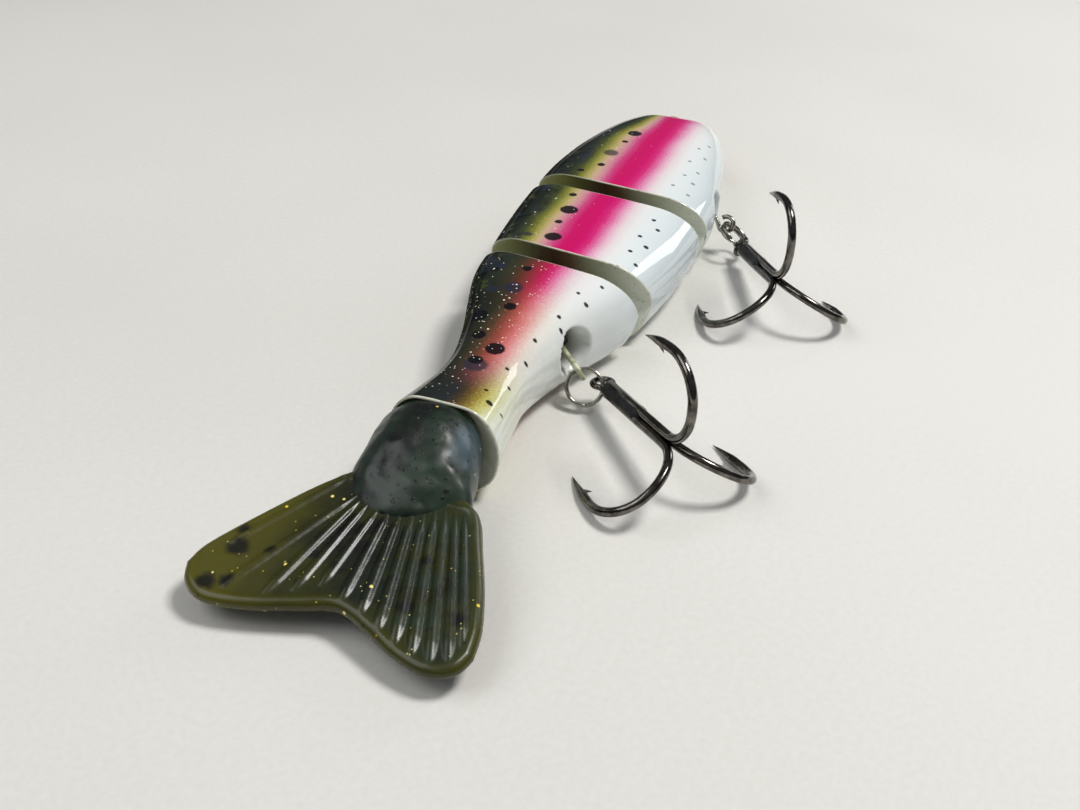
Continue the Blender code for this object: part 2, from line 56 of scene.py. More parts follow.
# shader helpers
class Value:
    def __init__(self, tree, socket=None):
        self.tree = tree
        self.socket = socket

    def node(self, kind, settings=None, inputs=None, output=0):
        made = self.tree.nodes.new("ShaderNode" + kind)
        for key, setting in (settings or {}).items():
            if key == "stops":
                ramp = made.color_ramp
                while len(ramp.elements) < len(setting):
                    ramp.elements.new(1.0)
                for element, (where, colour) in zip(ramp.elements, setting):
                    element.position = where
                    element.color = colour
            else:
                setattr(made, key, setting)
        for key, value in (inputs or {}).items():
            if isinstance(value, Value):
                self.tree.links.new(value.socket, made.inputs[key])
            else:
                made.inputs[key].default_value = value
        return Value(self.tree, made.outputs[output])

    def math(self, operation, *terms):
        return self.node("Math", {"operation": operation}, dict(enumerate(terms)))

    def __add__(self, other):
        return self.math("ADD", self, other)

    def __sub__(self, other):
        return self.math("SUBTRACT", self, other)

    def __rsub__(self, other):
        return self.math("SUBTRACT", other, self)

    def __mul__(self, other):
        return self.math("MULTIPLY", self, other)

    def __truediv__(self, other):
        return self.math("DIVIDE", self, other)

    def __pow__(self, other):
        return self.math("POWER", self, other)

    def __gt__(self, other):
        return self.math("GREATER_THAN", self, other)

    __radd__ = __add__
    __rmul__ = __mul__

    def most(self, other):
        return self.math("MAXIMUM", self, other)

    def size(self):
        return self.math("ABSOLUTE", self)

    def smooth(self, start, end):
        return self.node("MapRange", {"interpolation_type": "SMOOTHSTEP"},
                         {"Value": self, "From Min": start, "From Max": end})

    def mixed(self, first, second):
        return self.node("Mix", {"data_type": "RGBA"}, {0: self, 6: first, 7: second}, 2)

    def noise(self, scale, detail=2.0, roughness=0.5):
        return self.node("TexNoise", {}, {"Vector": self, "Scale": scale, "Detail": detail,
                                          "Roughness": roughness})

    def vector(self, operation, other, output="Vector"):
        return self.node("VectorMath", {"operation": operation}, {0: self, 1: other}, output)

    def split(self, kind, key):
        # the three outputs of a node that takes a vector or a colour apart
        separate = self.node(kind, {}, {key: self}).socket.node
        return [Value(self.tree, separate.outputs[i]) for i in range(3)]


def tint(code):
    # a colour from its usual six letters, made linear
    parts = [int(code[i:i + 2], 16) / 255.0 for i in (0, 2, 4)]
    return tuple(((p + 0.055) / 1.055) ** 2.4 if p > 0.04045 else p / 12.92 for p in parts) + (1.0,)


def tints(codes):
    return [tint(code) for code in codes]


def newFinish(name, look):
    # a material with its constant values on the shader, and the places that patterns read
    finish = bpy.data.materials.new(name)
    finish.use_nodes = True
    tree = finish.node_tree
    shader = tree.nodes["Principled BSDF"]
    for key, setting in look.items():
        shader.inputs[key].default_value = setting
    return finish, shader, Value(tree).node("TexCoord", {}, {}, "Object")


def feed(shader, key, value):
    value.tree.links.new(value.socket, shader.inputs[key])


def bumped(shader, height, strength, distance):
    bump = height.node("Bump", {}, {"Height": height, "Strength": strength, "Distance": distance})
    feed(shader, "Normal", bump)


def lurePlace(place):
    # station s, offset d and height above the middle plane, in millimetres, as three values
    alongX, acrossY, upZ = place.split("SeparateXYZ", "Vector")
    s = alongX * 1000.0 + lure["originS"]
    d = acrossY * 1000.0 + lure["originD"]
    return s, d, upZ * 1000.0 - midZ


def discs(s, d, rows, softness):
    # one mask from round marks: station, offset, radius
    flat = s.node("CombineXYZ", {}, {"X": s, "Y": d})
    mask = None
    for station, offset, radius in rows:
        away = flat.vector("DISTANCE", (station, offset, 0.0), "Value")
        one = away.smooth(radius + softness, radius - softness)
        mask = one if mask is None else mask.most(one)
    return mask


def flakes(place, scale, size, share):
    # scattered flakes: cells of a Voronoi pattern, of which a share holds a flake, and how each varies
    cells = place.node("TexVoronoi", {}, {"Vector": place, "Scale": scale}, "Distance")
    colours = Value(place.tree, cells.socket.node.outputs["Color"])
    pick, vary, _ = colours.split("SeparateColor", "Color")
    return cells.smooth(size, size * 0.6) * (pick > 1.0 - share), vary


# mesh helpers
def clamped(share):
    return min(max(share, 0.0), 1.0)


def eased(share):
    share = clamped(share)
    return share * share * (3.0 - 2.0 * share)


def squared(wave, power):
    # a sine or cosine pulled towards a square section
    return math.copysign(abs(wave) ** (2.0 / power), wave)


def smoothRows(rows, steps):
    # rows of numbers joined by a smooth curve through all of them
    out = []
    for i in range(len(rows) - 1):
        near = (rows[max(i - 1, 0)], rows[i], rows[i + 1], rows[min(i + 2, len(rows) - 1)])
        for j in range(steps):
            t = j / steps
            out.append(tuple(0.5 * (2 * b + (c - a) * t + (2 * a - 5 * b + 4 * c - e) * t * t
                                    + (3 * b - a - 3 * c + e) * t ** 3) for a, b, c, e in zip(*near)))
    out.append(tuple(rows[-1]))
    return out


def growTube(bm, sides, rings, shape):
    # a ring of edges extruded again and again, each vertex placed by shape(k, angle);
    # it returns the first and the last ring
    angle = bm.verts.layers.float.get("angle") or bm.verts.layers.float.new("angle")
    ring = bmesh.ops.create_circle(bm, segments=sides, radius=1.0)["verts"]
    for v in ring:
        v[angle] = math.atan2(v.co.y, v.co.x)
        v.co = shape(0, v[angle])
    first = ring
    edges = list({e for v in ring for e in v.link_edges})
    for k in range(1, rings + 1):
        grown = bmesh.ops.extrude_edge_only(bm, edges=edges)["geom"]
        ring = [g for g in grown if isinstance(g, bmesh.types.BMVert)]
        new = set(ring)
        edges = [g for g in grown if isinstance(g, bmesh.types.BMEdge) and new.issuperset(g.verts)]
        for v in ring:
            v.co = shape(k, v[angle])
    return first, ring


def ringEdges(ring):
    inside = set(ring)
    return [e for e in {e for v in ring for e in v.link_edges} if inside.issuperset(e.verts)]


def closeRing(bm, ring):
    return bmesh.ops.contextual_create(bm, geom=ringEdges(ring))["faces"]


def wire(bm, points, radii, sides=14):
    # a round wire along points, its section carried along without twist, with closed ends
    points = [Vector(p) for p in points]
    count = len(points)
    if not isinstance(radii, (list, tuple)):
        radii = [radii] * count
    places = []
    side = None
    for i, point in enumerate(points):
        tangent = (points[min(i + 1, count - 1)] - points[max(i - 1, 0)]).normalized()
        side = tangent.orthogonal() if side is None else side - tangent * side.dot(tangent)
        side.normalize()
        places.append((point, side.copy(), tangent.cross(side)))

    def shape(k, angle):
        point, across, upward = places[k]
        return point + (across * math.cos(angle) + upward * math.sin(angle)) * radii[k]

    first, last = growTube(bm, sides, count - 1, shape)
    closeRing(bm, first)
    closeRing(bm, last)


def basis(main, facing):
    main = Vector(main).normalized()
    facing = Vector(facing)
    facing = (facing - main * facing.dot(main)).normalized()
    return main, facing, main.cross(facing)


def addMesh(name, bm, finishes):
    mesh = bpy.data.meshes.new(name)
    bm.to_mesh(mesh)
    bm.free()
    for finish in finishes:
        mesh.materials.append(finish)
    obj = bpy.data.objects.new(name, mesh)
    bpy.context.scene.collection.objects.link(obj)
    return obj


def addPiece(name, bm, finishes, body, nodes, merge=0.0005):
    # the finished mesh goes to the part's frame, rides on its body and stands for its CAD nodes;
    # a piece without a body is attached to none
    if merge:
        bmesh.ops.remove_doubles(bm, verts=bm.verts[:], dist=merge)
    bmesh.ops.recalc_face_normals(bm, faces=bm.faces[:])
    bmesh.ops.transform(bm, matrix=toPart, verts=bm.verts[:])
    obj = addMesh(name, bm, finishes)
    obj.data.shade_smooth()
    if body:
        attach(obj, body)
    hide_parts(*nodes)
    print("made", name, len(obj.data.polygons), "faces")
    return obj


# camera, floor, light
view = {"place": (-0.210407, -0.055500, 0.133027), "towards": (0.7803, 0.2733, -0.5625), "roll": 2.572,
        "lens": 41.225, "sensor": 36.0, "nearest": 0.005}


def makeCamera():
    data = bpy.data.cameras.new("camera")
    data.lens = view["lens"]
    data.sensor_width = view["sensor"]
    data.clip_start = view["nearest"]
    camera = bpy.data.objects.new("camera", data)
    camera.rotation_mode = "QUATERNION"
    camera.location = view["place"]
    turn = Vector(view["towards"]).to_track_quat("-Z", "Y")
    camera.rotation_quaternion = turn @ Quaternion((0.0, 0.0, 1.0), math.radians(view["roll"]))
    bpy.context.scene.collection.objects.link(camera)
    bpy.context.scene.camera = camera


studio = {
    "lights": [  # place, width, depth, watts, colour
        ("ceiling", (0.16, -0.38, 0.85), 0.25, 0.25, 6.5, (1.0, 0.99, 0.965)),
        ("fill", (-0.35, 0.55, 0.80), 0.80, 0.60, 3.4, (0.97, 0.98, 1.0)),
        ("window", (0.74, -0.40, 0.32), 0.18, 0.36, 0.95, (0.88, 0.94, 1.0)),
    ],
    "sky": ("e6e8ea", (0.10, 0.15, 0.30)),  # colour, and strength at the horizon, half way up and overhead
    "skyMiddle": 0.55,
    "floorTones": ("dcdad4", "e4e2dd"),
    "floorLook": {"Roughness": 0.62, "Specular IOR Level": 0.2},
    "floorSize": 3.0,
}


def makeStudio():
    for name, spot, width, depth, watts, colour in studio["lights"]:
        data = bpy.data.lights.new(name, "AREA")
        data.shape = "RECTANGLE"
        data.size = width
        data.size_y = depth
        data.energy = watts
        data.color = colour
        lamp = bpy.data.objects.new(name, data)
        lamp.location = spot
        lamp.rotation_mode = "QUATERNION"
        lamp.rotation_quaternion = (-Vector(spot)).to_track_quat("-Z", "Y")
        bpy.context.scene.collection.objects.link(lamp)
    bpy.context.scene.view_settings.view_transform = "Standard"
    world = bpy.data.worlds.new("studio")
    world.use_nodes = True
    shade = world.node_tree.nodes["Background"]
    colour, (horizon, middle, top) = studio["sky"]
    shade.inputs["Color"].default_value = tint(colour)
    sky = Value(world.node_tree)
    toward = sky.node("TexCoord", {}, {}, "Generated")
    lift = sky.node("SeparateXYZ", {}, {"Vector": toward}, "Z")
    half = studio["skyMiddle"]
    strength = lift.smooth(0.0, half) * (middle - horizon) + lift.smooth(half, 1.0) * (top - middle) + horizon
    feed(shade, "Strength", strength)
    bpy.context.scene.world = world
    finish, shader, place = newFinish("tableTop", studio["floorLook"])
    broad = place.noise(5.0, 3.0)
    grain = place.noise(900.0, 2.0)
    cloud = (broad * 0.7 + grain * 0.3).smooth(0.35, 0.65)
    feed(shader, "Base Color", cloud.mixed(*tints(studio["floorTones"])))
    bumped(shader, place.noise(260.0, 3.0), 0.05, 0.001)
    bm = bmesh.new()
    bmesh.ops.create_grid(bm, x_segments=2, y_segments=2, size=studio["floorSize"] / 2.0)
    table = addMesh("table", bm, [finish])
    print("studio ready")


# painted body segments
bodyShape = {
    # s, reach to the back, reach to the belly, half thickness, squareness
    "stations": [
        (3.8, 10.0, 10.6, 9.0, 2.2), (10.0, 8.8, 9.6, 8.1, 2.3), (17.0, 7.7, 8.6, 7.4, 2.4),
        (25.0, 7.8, 8.1, 7.3, 2.5), (35.0, 10.0, 9.8, 8.2, 2.6), (45.0, 13.2, 12.9, 9.0, 2.7),
        (54.0, 16.0, 16.6, 9.3, 2.7), (62.0, 17.1, 18.5, 9.3, 2.7), (77.0, 18.8, 20.6, 9.3, 2.7),
        (90.0, 19.9, 21.2, 9.3, 2.7), (104.0, 20.4, 21.4, 9.3, 2.7), (113.0, 20.2, 20.8, 9.3, 2.7),
        (125.0, 18.8, 18.7, 9.3, 2.6), (137.0, 15.6, 16.2, 9.1, 2.5), (145.0, 11.8, 13.9, 8.4, 2.4),
        (149.0, 9.0, 12.2, 7.3, 2.3), (152.5, 5.8, 9.6, 5.5, 2.2), (154.6, 2.6, 6.2, 3.2, 2.1),
        (155.4, 0.4, 3.6, 1.2, 2.0)],
    "flankShare": 0.90,       # flanks are nearly flat beyond this share of the half thickness
    "creaseSoftness": 0.75,   # how gently the flank turns into the belly and the back
    "sides": 132,
    "rings": 104,
    "middleRings": 72,
    "noseEase": 1.45,         # rings crowd towards the nose by this power
    "noseRings": [(0.72, 0.22), (0.42, 0.12), (0.2, 0.04)],  # scale and step of the rings that close it
    "rimRadius": 0.34,
    "faceInset": 0.3,
    "notch": 4.8,             # depth of the V across a joint face
    "jointOne": {"front": 97.6, "rear": 92.0, "slant": 5.0, "pivot": 93.5},
    "jointTwo": {"front": 62.6, "rear": 56.8, "slant": 6.5, "pivot": 58.2},
    "tailRim": 3.8,
    "cup": {"lip": 0.12, "depth": 1.8, "belly": 0.76, "back": 0.97, "height": 0.95},
    "rearPocket": {"centre": (40.3, 10.0), "half": (4.0, 4.5), "depth": 6.4},
    "frontPocket": {"centre": (113.0, 9.3), "half": (4.2, 4.6), "depth": 3.0},
    "pocketEdge": (1.12, 0.42),  # start and width of a pocket's slope, as shares of its half size
    "pocketsBelow": -3.0,
}
surfaces = {"face": 1, "rim": 2, "cup": 3}  # material slots of a body piece; the skin is 0
sectionTable = smoothRows(bodyShape["stations"], 24)
sectionPlaces = [row[0] for row in sectionTable]


def sectionAt(s):
    low = min(max(bisect_right(sectionPlaces, s) - 1, 0), len(sectionTable) - 2)
    near, far = sectionTable[low:low + 2]
    share = clamped((s - near[0]) / max(far[0] - near[0], 1e-6))
    return tuple(a + (b - a) * share for a, b in zip(near[1:], far[1:]))


def sectionPoint(s, angle):
    # offset d and height above the middle plane of the skin at a station
    up, down, half, power = sectionAt(s)
    cosine, sine = math.cos(angle), math.sin(angle)
    d = squared(cosine, power) * (up if cosine > 0.0 else down)
    full = abs(sine) ** (2.0 / power) * half / bodyShape["flankShare"]
    soft = bodyShape["creaseSoftness"]
    height = 0.5 * (full + half - math.hypot(full - half, soft))
    height += soft * soft / (4.0 * half) * (1.0 - abs(sine))
    return d, math.copysign(max(height, 0.0) if abs(sine) > 1e-6 else 0.0, sine)


def jointFace(joint, edge):
    # the V face through a flank edge station, as a function of offset and height
    slope = math.tan(math.radians(joint["slant"]))

    def face(d, height):
        return joint[edge] + bodyShape["notch"] * (1.0 - abs(height) / midZ) + d * slope
    return face


def bodyShell(rear, front, rings, ease=1.0):
    # skin between two end faces; every ring slides from the rear face's shape to the front face's
    bm = bmesh.new()

    def shape(k, angle):
        share = 1.0 - (1.0 - k / rings) ** ease
        s = rear(0.0, 0.0) + (front(0.0, 0.0) - rear(0.0, 0.0)) * share
        for _ in range(5):  # the faces lean, so the station is found in a few rounds
            d, height = sectionPoint(s, angle)
            s = rear(d, height) + (front(d, height) - rear(d, height)) * share
        return Vector((s, d, midZ + height))

    first, last = growTube(bm, bodyShape["sides"], rings, shape)
    return bm, first, last


def closeVee(bm, ring):
    # an edge from back to belly along the V's apex, then a flat face above and one below it
    level = sorted(ring, key=lambda v: abs(v.co.z - midZ))[:2]
    apex = bm.edges.new(level)
    rim = ringEdges(ring)
    rim.remove(apex)
    caps = []
    for sign in (1.0, -1.0):
        half = [e for e in rim if (e.verts[0].co.z + e.verts[1].co.z - 2.0 * midZ) * sign > 0.0]
        caps += bmesh.ops.contextual_create(bm, geom=half + [apex])["faces"]
    for cap in caps:
        cap.material_index = surfaces["face"]
    return rim


def roundRim(bm, rim):
    made = bmesh.ops.bevel(bm, geom=rim, offset=bodyShape["rimRadius"], segments=3, profile=0.5,
                           affect="EDGES", material=-1)
    for face in made["faces"]:
        face.material_index = surfaces["rim"]
    caps = [f for f in bm.faces if f.material_index == surfaces["face"] and len(f.verts) > 20]
    bmesh.ops.inset_individual(bm, faces=caps, thickness=bodyShape["faceInset"], use_even_offset=True)


def pressPocket(bm, pocket):
    # a soft oval recess pressed into the belly
    centre, half = pocket["centre"], pocket["half"]
    outer, slope = bodyShape["pocketEdge"]
    for v in bm.verts:
        if v.co.y < bodyShape["pocketsBelow"]:
            reach = math.hypot((v.co.x - centre[0]) / half[0], (v.co.z - centre[1]) / half[1])
            v.co.y += pocket["depth"] * eased((outer - reach) / slope)


def makeBodies(finishes):
    one, two = bodyShape["jointOne"], bodyShape["jointTwo"]
    rings = bodyShape["rings"]

    noseTip = bodyShape["stations"][-1][0]
    bm, first, last = bodyShell(jointFace(one, "front"), lambda d, h: noseTip, rings, bodyShape["noseEase"])
    rim = closeVee(bm, first)
    for pull, forward in bodyShape["noseRings"]:
        grown = bmesh.ops.extrude_edge_only(bm, edges=ringEdges(last))["geom"]
        last = [g for g in grown if isinstance(g, bmesh.types.BMVert)]
        centre = sum((v.co for v in last), Vector()) / len(last)
        for v in last:
            v.co = centre + (v.co - centre) * pull + Vector((forward, 0.0, 0.0))
    closeRing(bm, last)
    roundRim(bm, rim)
    pressPocket(bm, bodyShape["frontPocket"])
    addPiece("headShell", bm, finishes["head"], "head", ("head_body",))

    bm, first, last = bodyShell(jointFace(two, "front"), jointFace(one, "rear"), bodyShape["middleRings"])
    roundRim(bm, closeVee(bm, first) + closeVee(bm, last))
    addPiece("middleShell", bm, finishes["middle"], "middle", ("middle_body",))

    # the rear ends in a rim round a shallow cup, which the soft tail is pushed into
    tailRim, cupShape = bodyShape["tailRim"], bodyShape["cup"]
    bm, first, last = bodyShell(lambda d, h: tailRim, jointFace(two, "rear"), rings)
    rim = closeVee(bm, last)
    cup = closeRing(bm, first)
    for face in cup:
        face.material_index = surfaces["cup"]
    roundRim(bm, rim + ringEdges(first))
    cup = [f for f in bm.faces if f.material_index == surfaces["cup"]]
    bmesh.ops.inset_region(bm, faces=cup, thickness=cupShape["lip"], use_even_offset=True)
    grown = bmesh.ops.extrude_face_region(bm, geom=cup)["geom"]
    deep = [g for g in grown if isinstance(g, bmesh.types.BMVert)]
    bmesh.ops.delete(bm, geom=cup, context="FACES_ONLY")
    for v in deep:
        scale = cupShape["belly"] if v.co.y < 0.0 else cupShape["back"]
        height = midZ + (v.co.z - midZ) * cupShape["height"]
        v.co = Vector((v.co.x + cupShape["depth"], v.co.y * scale, height))
    pressPocket(bm, bodyShape["rearPocket"])
    addPiece("rearShell", bm, finishes["rear"], "rear", ("rear_body",))


paintScheme = {
    # offset from the axis towards the back, colour
    "trout": [(-21, "cfd9dd"), (-12.5, "e6eced"), (-10, "ecedec"), (-8, "ecdadf"), (-6.6, "e9b4ca"),
              (-5, "e06da3"), (-3.6, "d8297a"), (-2, "d1006b"), (-0.4, "ce0062"), (1.2, "cd0a66"),
              (2.8, "cd4680"), (4.4, "cf8b9a"), (6, "cbac90"), (7.2, "b0a45c"), (8.8, "777a2c"),
              (10.4, "3f4722"), (12.5, "1b231b"), (18, "0c110c")],
    "roseRear": [(-21, "ccd6d9"), (-12, "e8ecec"), (-8, "ebe8e8"), (-6, "e8d4d9"), (-4.4, "e4a9c0"),
                 (-2.8, "df6c9f"), (-1.4, "cf2a70"), (0.2, "b8184c"), (1.8, "8f2838"), (3.6, "5f3022"),
                 (5.4, "3a3322"), (8, "262e22"), (12, "1a2118"), (18, "0f140f")],
    "emberRear": [(-21, "ccd6d8"), (-9, "e8ece8"), (-7, "e9e7e0"), (-5.6, "e4d3ca"), (-4.2, "e0aea8"),
                  (-2.8, "d98787"), (-1.2, "c0605a"), (0.4, "90473a"), (2.2, "503a28"), (4.0, "292b1d"),
                  (7, "191d14"), (18, "0e120c")],
    "goldRear": [(-21, "ccd6d6"), (-9.5, "e3e8df"), (-7.6, "dcddb4"), (-6.2, "c4bc6c"), (-4.8, "99873a"),
                 (-3.4, "6d5526"), (-2, "42351f"), (-0.4, "22262a"), (2, "1d2320"), (6, "12170f"),
                 (18, "0b0f0a")],
    # joint face bands; the pale belly end is partly overspray and partly painted light
    "jointFace": [(-22, "e4e8de"), (-12.32, "ced2c4"), (-5.28, "a6a892"), (-1.32, "7d6450"),
                  (2.2, "5f4333"), (7.04, "68653d"), (12.32, "868a44"), (19.8, "9a9d5c")],
    "bandSpan": 44.0,
    "gloss": {"Roughness": 0.45, "Coat Weight": 1.0, "Coat Roughness": 0.035, "Coat IOR": 1.45,
              "Specular IOR Level": 0.0},
    "mottleNavy": "242c38", "mottleBlack": "070a07", "mottleOlive": "4f5730",
    "greySpot": "20283a", "darkSpot": "05070c", "speck": "14181a", "flake": ("ffffff", "fff0c4"),
    "flakeShares": {"head": (0.04, 0.05), "middle": (0.04, 0.05), "rear": (0.22, 0.42)},  # fine and large
    "speckStrength": {"head": 0.6, "middle": 0.96, "rear": 0.96},
    # pocket: the two painted shade tones inside the rear pocket
    "pocket": ("5f6154", "181710"), "rimEdge": ("d9d8c4", "8a8b6e"), "rimWorn": "5a5d4a",
    "faceSpeck": "2a2a22", "cup": ("e4e5d2", "c4c6ae"),
    "headSpots": [(129.0, 5.0, 1.7), (122.9, 5.6, 0.75), (107.3, 6.5, 0.9), (102.5, 9.8, 0.8)],
    "headGreySpots": [(115.0, 6.6, 1.75)],
    "headSpecks": [(127.7, -11.6, 0.42), (132.1, -13.1, 0.42), (118.7, -11.7, 0.45), (123.7, -14.2, 0.45),
                   (110.5, -12.7, 0.45), (114.2, -14.9, 0.45), (103.7, -11.8, 0.48), (107.8, -15.4, 0.5),
                   (101.7, -15.9, 0.45)],
    "middleSpots": [(88.9, 6.9, 0.9), (81.3, 5.1, 1.95), (74.9, 5.2, 0.85), (67.8, 3.8, 1.8)],
    "middleGreySpots": [(66.9, 9.0, 0.95)],
    "middleSpecks": [(84.7, -12.9, 0.5), (81.3, -14.8, 0.5), (76.1, -12.4, 0.5), (73.0, -14.7, 0.55),
                     (69.0, -12.5, 0.5), (61.5, -12.1, 0.58), (65.4, -14.9, 0.5)],
    "rearSpots": [(52.6, 3.6, 0.95), (38.6, 1.6, 1.2), (34.3, 6.1, 1.75), (28.4, 3.6, 1.3),
                  (25.3, -0.9, 1.8), (20.6, 0.9, 1.35), (50.4, 9.6, 0.9)],
    "rearGreySpots": [(44.8, 3.5, 1.9), (19.0, 0.2, 2.2), (43.3, 7.2, 1.1), (51.9, 9.0, 1.3)],
    "rearSpecks": [(53.0, -11.8, 0.42), (48.1, -8.6, 0.4), (46.6, -10.8, 0.46), (39.7, -7.8, 0.42),
                   (37.7, -9.0, 0.38), (31.2, -6.3, 0.4), (25.5, -6.8, 0.38), (20.7, -5.1, 0.38),
                   (16.8, -7.0, 0.34), (11.9, -4.8, 0.4), (9.0, -6.6, 0.62), (9.5, -8.6, 0.26)],
}


def bandRamp(name, across):
    # colours across the body, from the belly to the back
    span = paintScheme["bandSpan"]
    stops = [((d + span / 2.0) / span, tint(code)) for d, code in paintScheme[name]]
    return across.node("ValToRGB", {"stops": stops}, {"Fac": (across + span / 2.0) / span})


def pocketShade(colour, s, d, z):
    # painted shade inside the rear pocket, where the hole lies in shadow, darker away from the light
    hole = bodyShape["rearPocket"]
    along = (s - hole["centre"][0]) / hole["half"][0]
    upward = (z + midZ - hole["centre"][1]) / hole["half"][1]
    inside = (along * along + upward * upward).smooth(1.05, 0.62) * d.smooth(-4.0, -5.0)
    shade = (upward * 0.7 - along * 0.3).smooth(-0.7, 0.6)
    return (inside * 0.95).mixed(colour, shade.mixed(*tints(paintScheme["pocket"])))


def bodyPaint(name, part):
    # airbrushed bands across the flank under a deep clear coat
    finish, shader, place = newFinish(name, paintScheme["gloss"])
    s, d, z = lurePlace(place)
    spray = place.noise(2600.0, 1.0) - 0.5
    drift = place.noise(90.0, 2.0) - 0.5
    across = d + spray * 2.2 + drift * 1.6
    if part == "head":  # the back's colours close in on the stripe towards the nose
        across = across + d.most(0.0) * s.smooth(124.0, 151.0) * 1.1
    if part == "rear":
        cluster = place.noise(130.0, 2.0) - 0.5
        gold, ember, rose = (bandRamp(key, across) for key in ("goldRear", "emberRear", "roseRear"))
        colour = s.smooth(9.0, 27.0).mixed(gold, s.smooth(36.0, 52.0).mixed(ember, rose))
        dorsal = (d - (s - 10.0) * 0.12).smooth(2.0, 5.5)
        reach = (d + cluster * 9.0).smooth(-6.0, 0.5)
    else:
        colour = bandRamp("trout", across)
        dorsal = d.smooth(8.5, 12.5)
        reach = d.smooth(-4.0, 8.0)
    mottle = place.noise(190.0, 3.0, 0.55)
    clouds = place.noise(330.0, 2.0, 0.6)
    wobble = place.noise(1400.0, 1.0) - 0.5
    grey = discs(s + wobble * 0.6, d + wobble * 0.6, paintScheme[part + "GreySpots"], 0.5)
    spots = discs(s + wobble * 0.5, d + wobble * 0.5, paintScheme[part + "Spots"], 0.22)
    specks = discs(s + wobble * 0.3, d, paintScheme[part + "Specks"], 0.13) * z.size().smooth(2.6, 4.2)
    for mask, tone in ((dorsal * mottle.smooth(0.50, 0.62) * 0.85, "mottleNavy"),
                       (dorsal * clouds.smooth(0.56, 0.64) * 0.8, "mottleBlack"),
                       (dorsal * clouds.smooth(0.40, 0.32) * 0.5, "mottleOlive"),
                       (grey * 0.8, "greySpot"), (spots * 0.97, "darkSpot"),
                       (specks * paintScheme["speckStrength"][part], "speck")):
        colour = mask.mixed(colour, tint(paintScheme[tone]))
    fineShare, largeShare = paintScheme["flakeShares"][part]
    fine, _ = flakes(place, 1500.0, 0.26, fineShare)
    large, warm = flakes(place, 640.0, 0.16, largeShare)
    glint = large.most(fine * 0.85) * reach
    colour = glint.mixed(colour, warm.mixed(*tints(paintScheme["flake"])))
    # painted shade inside the rear pocket
    if part == "rear":
        colour = pocketShade(colour, s, d, z)
    # the clear coat is satin over the back, by the angle round the body that its mesh carries
    turn = place.node("Attribute", {"attribute_name": "angle"}, {}, "Fac")
    satin = turn.math("COSINE", turn).smooth(0.55, 0.82)
    feed(shader, "Coat Weight", 1.0 - satin * 0.97)
    feed(shader, "Base Color", colour)
    feed(shader, "Roughness", 0.40 - glint * 0.15 + spray * 0.06)
    ripple = place.noise(120.0, 2.0) + place.noise(420.0, 1.0) * 0.12
    bumped(shader, ripple, 0.16, 0.0006)
    return finish


def facePaint(name):
    # oversprayed joint face: olive at the back, dark brown in the middle, grey-green at the belly; the belly
    # side is also painted lighter as painted light, as if more light falls there
    finish, shader, place = newFinish(name, {"Roughness": 0.5, "Coat Weight": 0.35, "Coat Roughness": 0.2})
    _, d, _ = lurePlace(place)
    mist = place.noise(260.0, 3.0) - 0.5
    colour = bandRamp("jointFace", d + mist * 3.0)
    speck = place.noise(1800.0, 1.0)
    feed(shader, "Base Color", (speck.smooth(0.6, 0.72) * 0.25).mixed(colour, tint(paintScheme["faceSpeck"])))
    feed(shader, "Roughness", 0.45 + mist * 0.3)
    bumped(shader, place.noise(700.0, 2.0), 0.12, 0.0004)
    return finish


def edgePaint(name):
    # the rounded rim, where the colour is thin over the pale base
    finish, shader, place = newFinish(name, {"Roughness": 0.3, "Coat Weight": 1.0, "Coat Roughness": 0.05})
    _, d, _ = lurePlace(place)
    worn = place.noise(500.0, 3.0)
    tone = d.smooth(2.0, 12.0).mixed(*tints(paintScheme["rimEdge"]))
    feed(shader, "Base Color", (worn.smooth(0.55, 0.72) * 0.5).mixed(tone, tint(paintScheme["rimWorn"])))
    feed(shader, "Roughness", 0.26 + worn * 0.12)
    return finish


def cupPaint(name):
    # pale primer that the overspray only dusts
    finish, shader, place = newFinish(name, {"Roughness": 0.55, "Coat Weight": 0.2})
    mist = place.noise(240.0, 3.0)
    feed(shader, "Base Color", mist.smooth(0.35, 0.7).mixed(*tints(paintScheme["cup"])))
    feed(shader, "Roughness", 0.45 + mist * 0.2)
    return finish


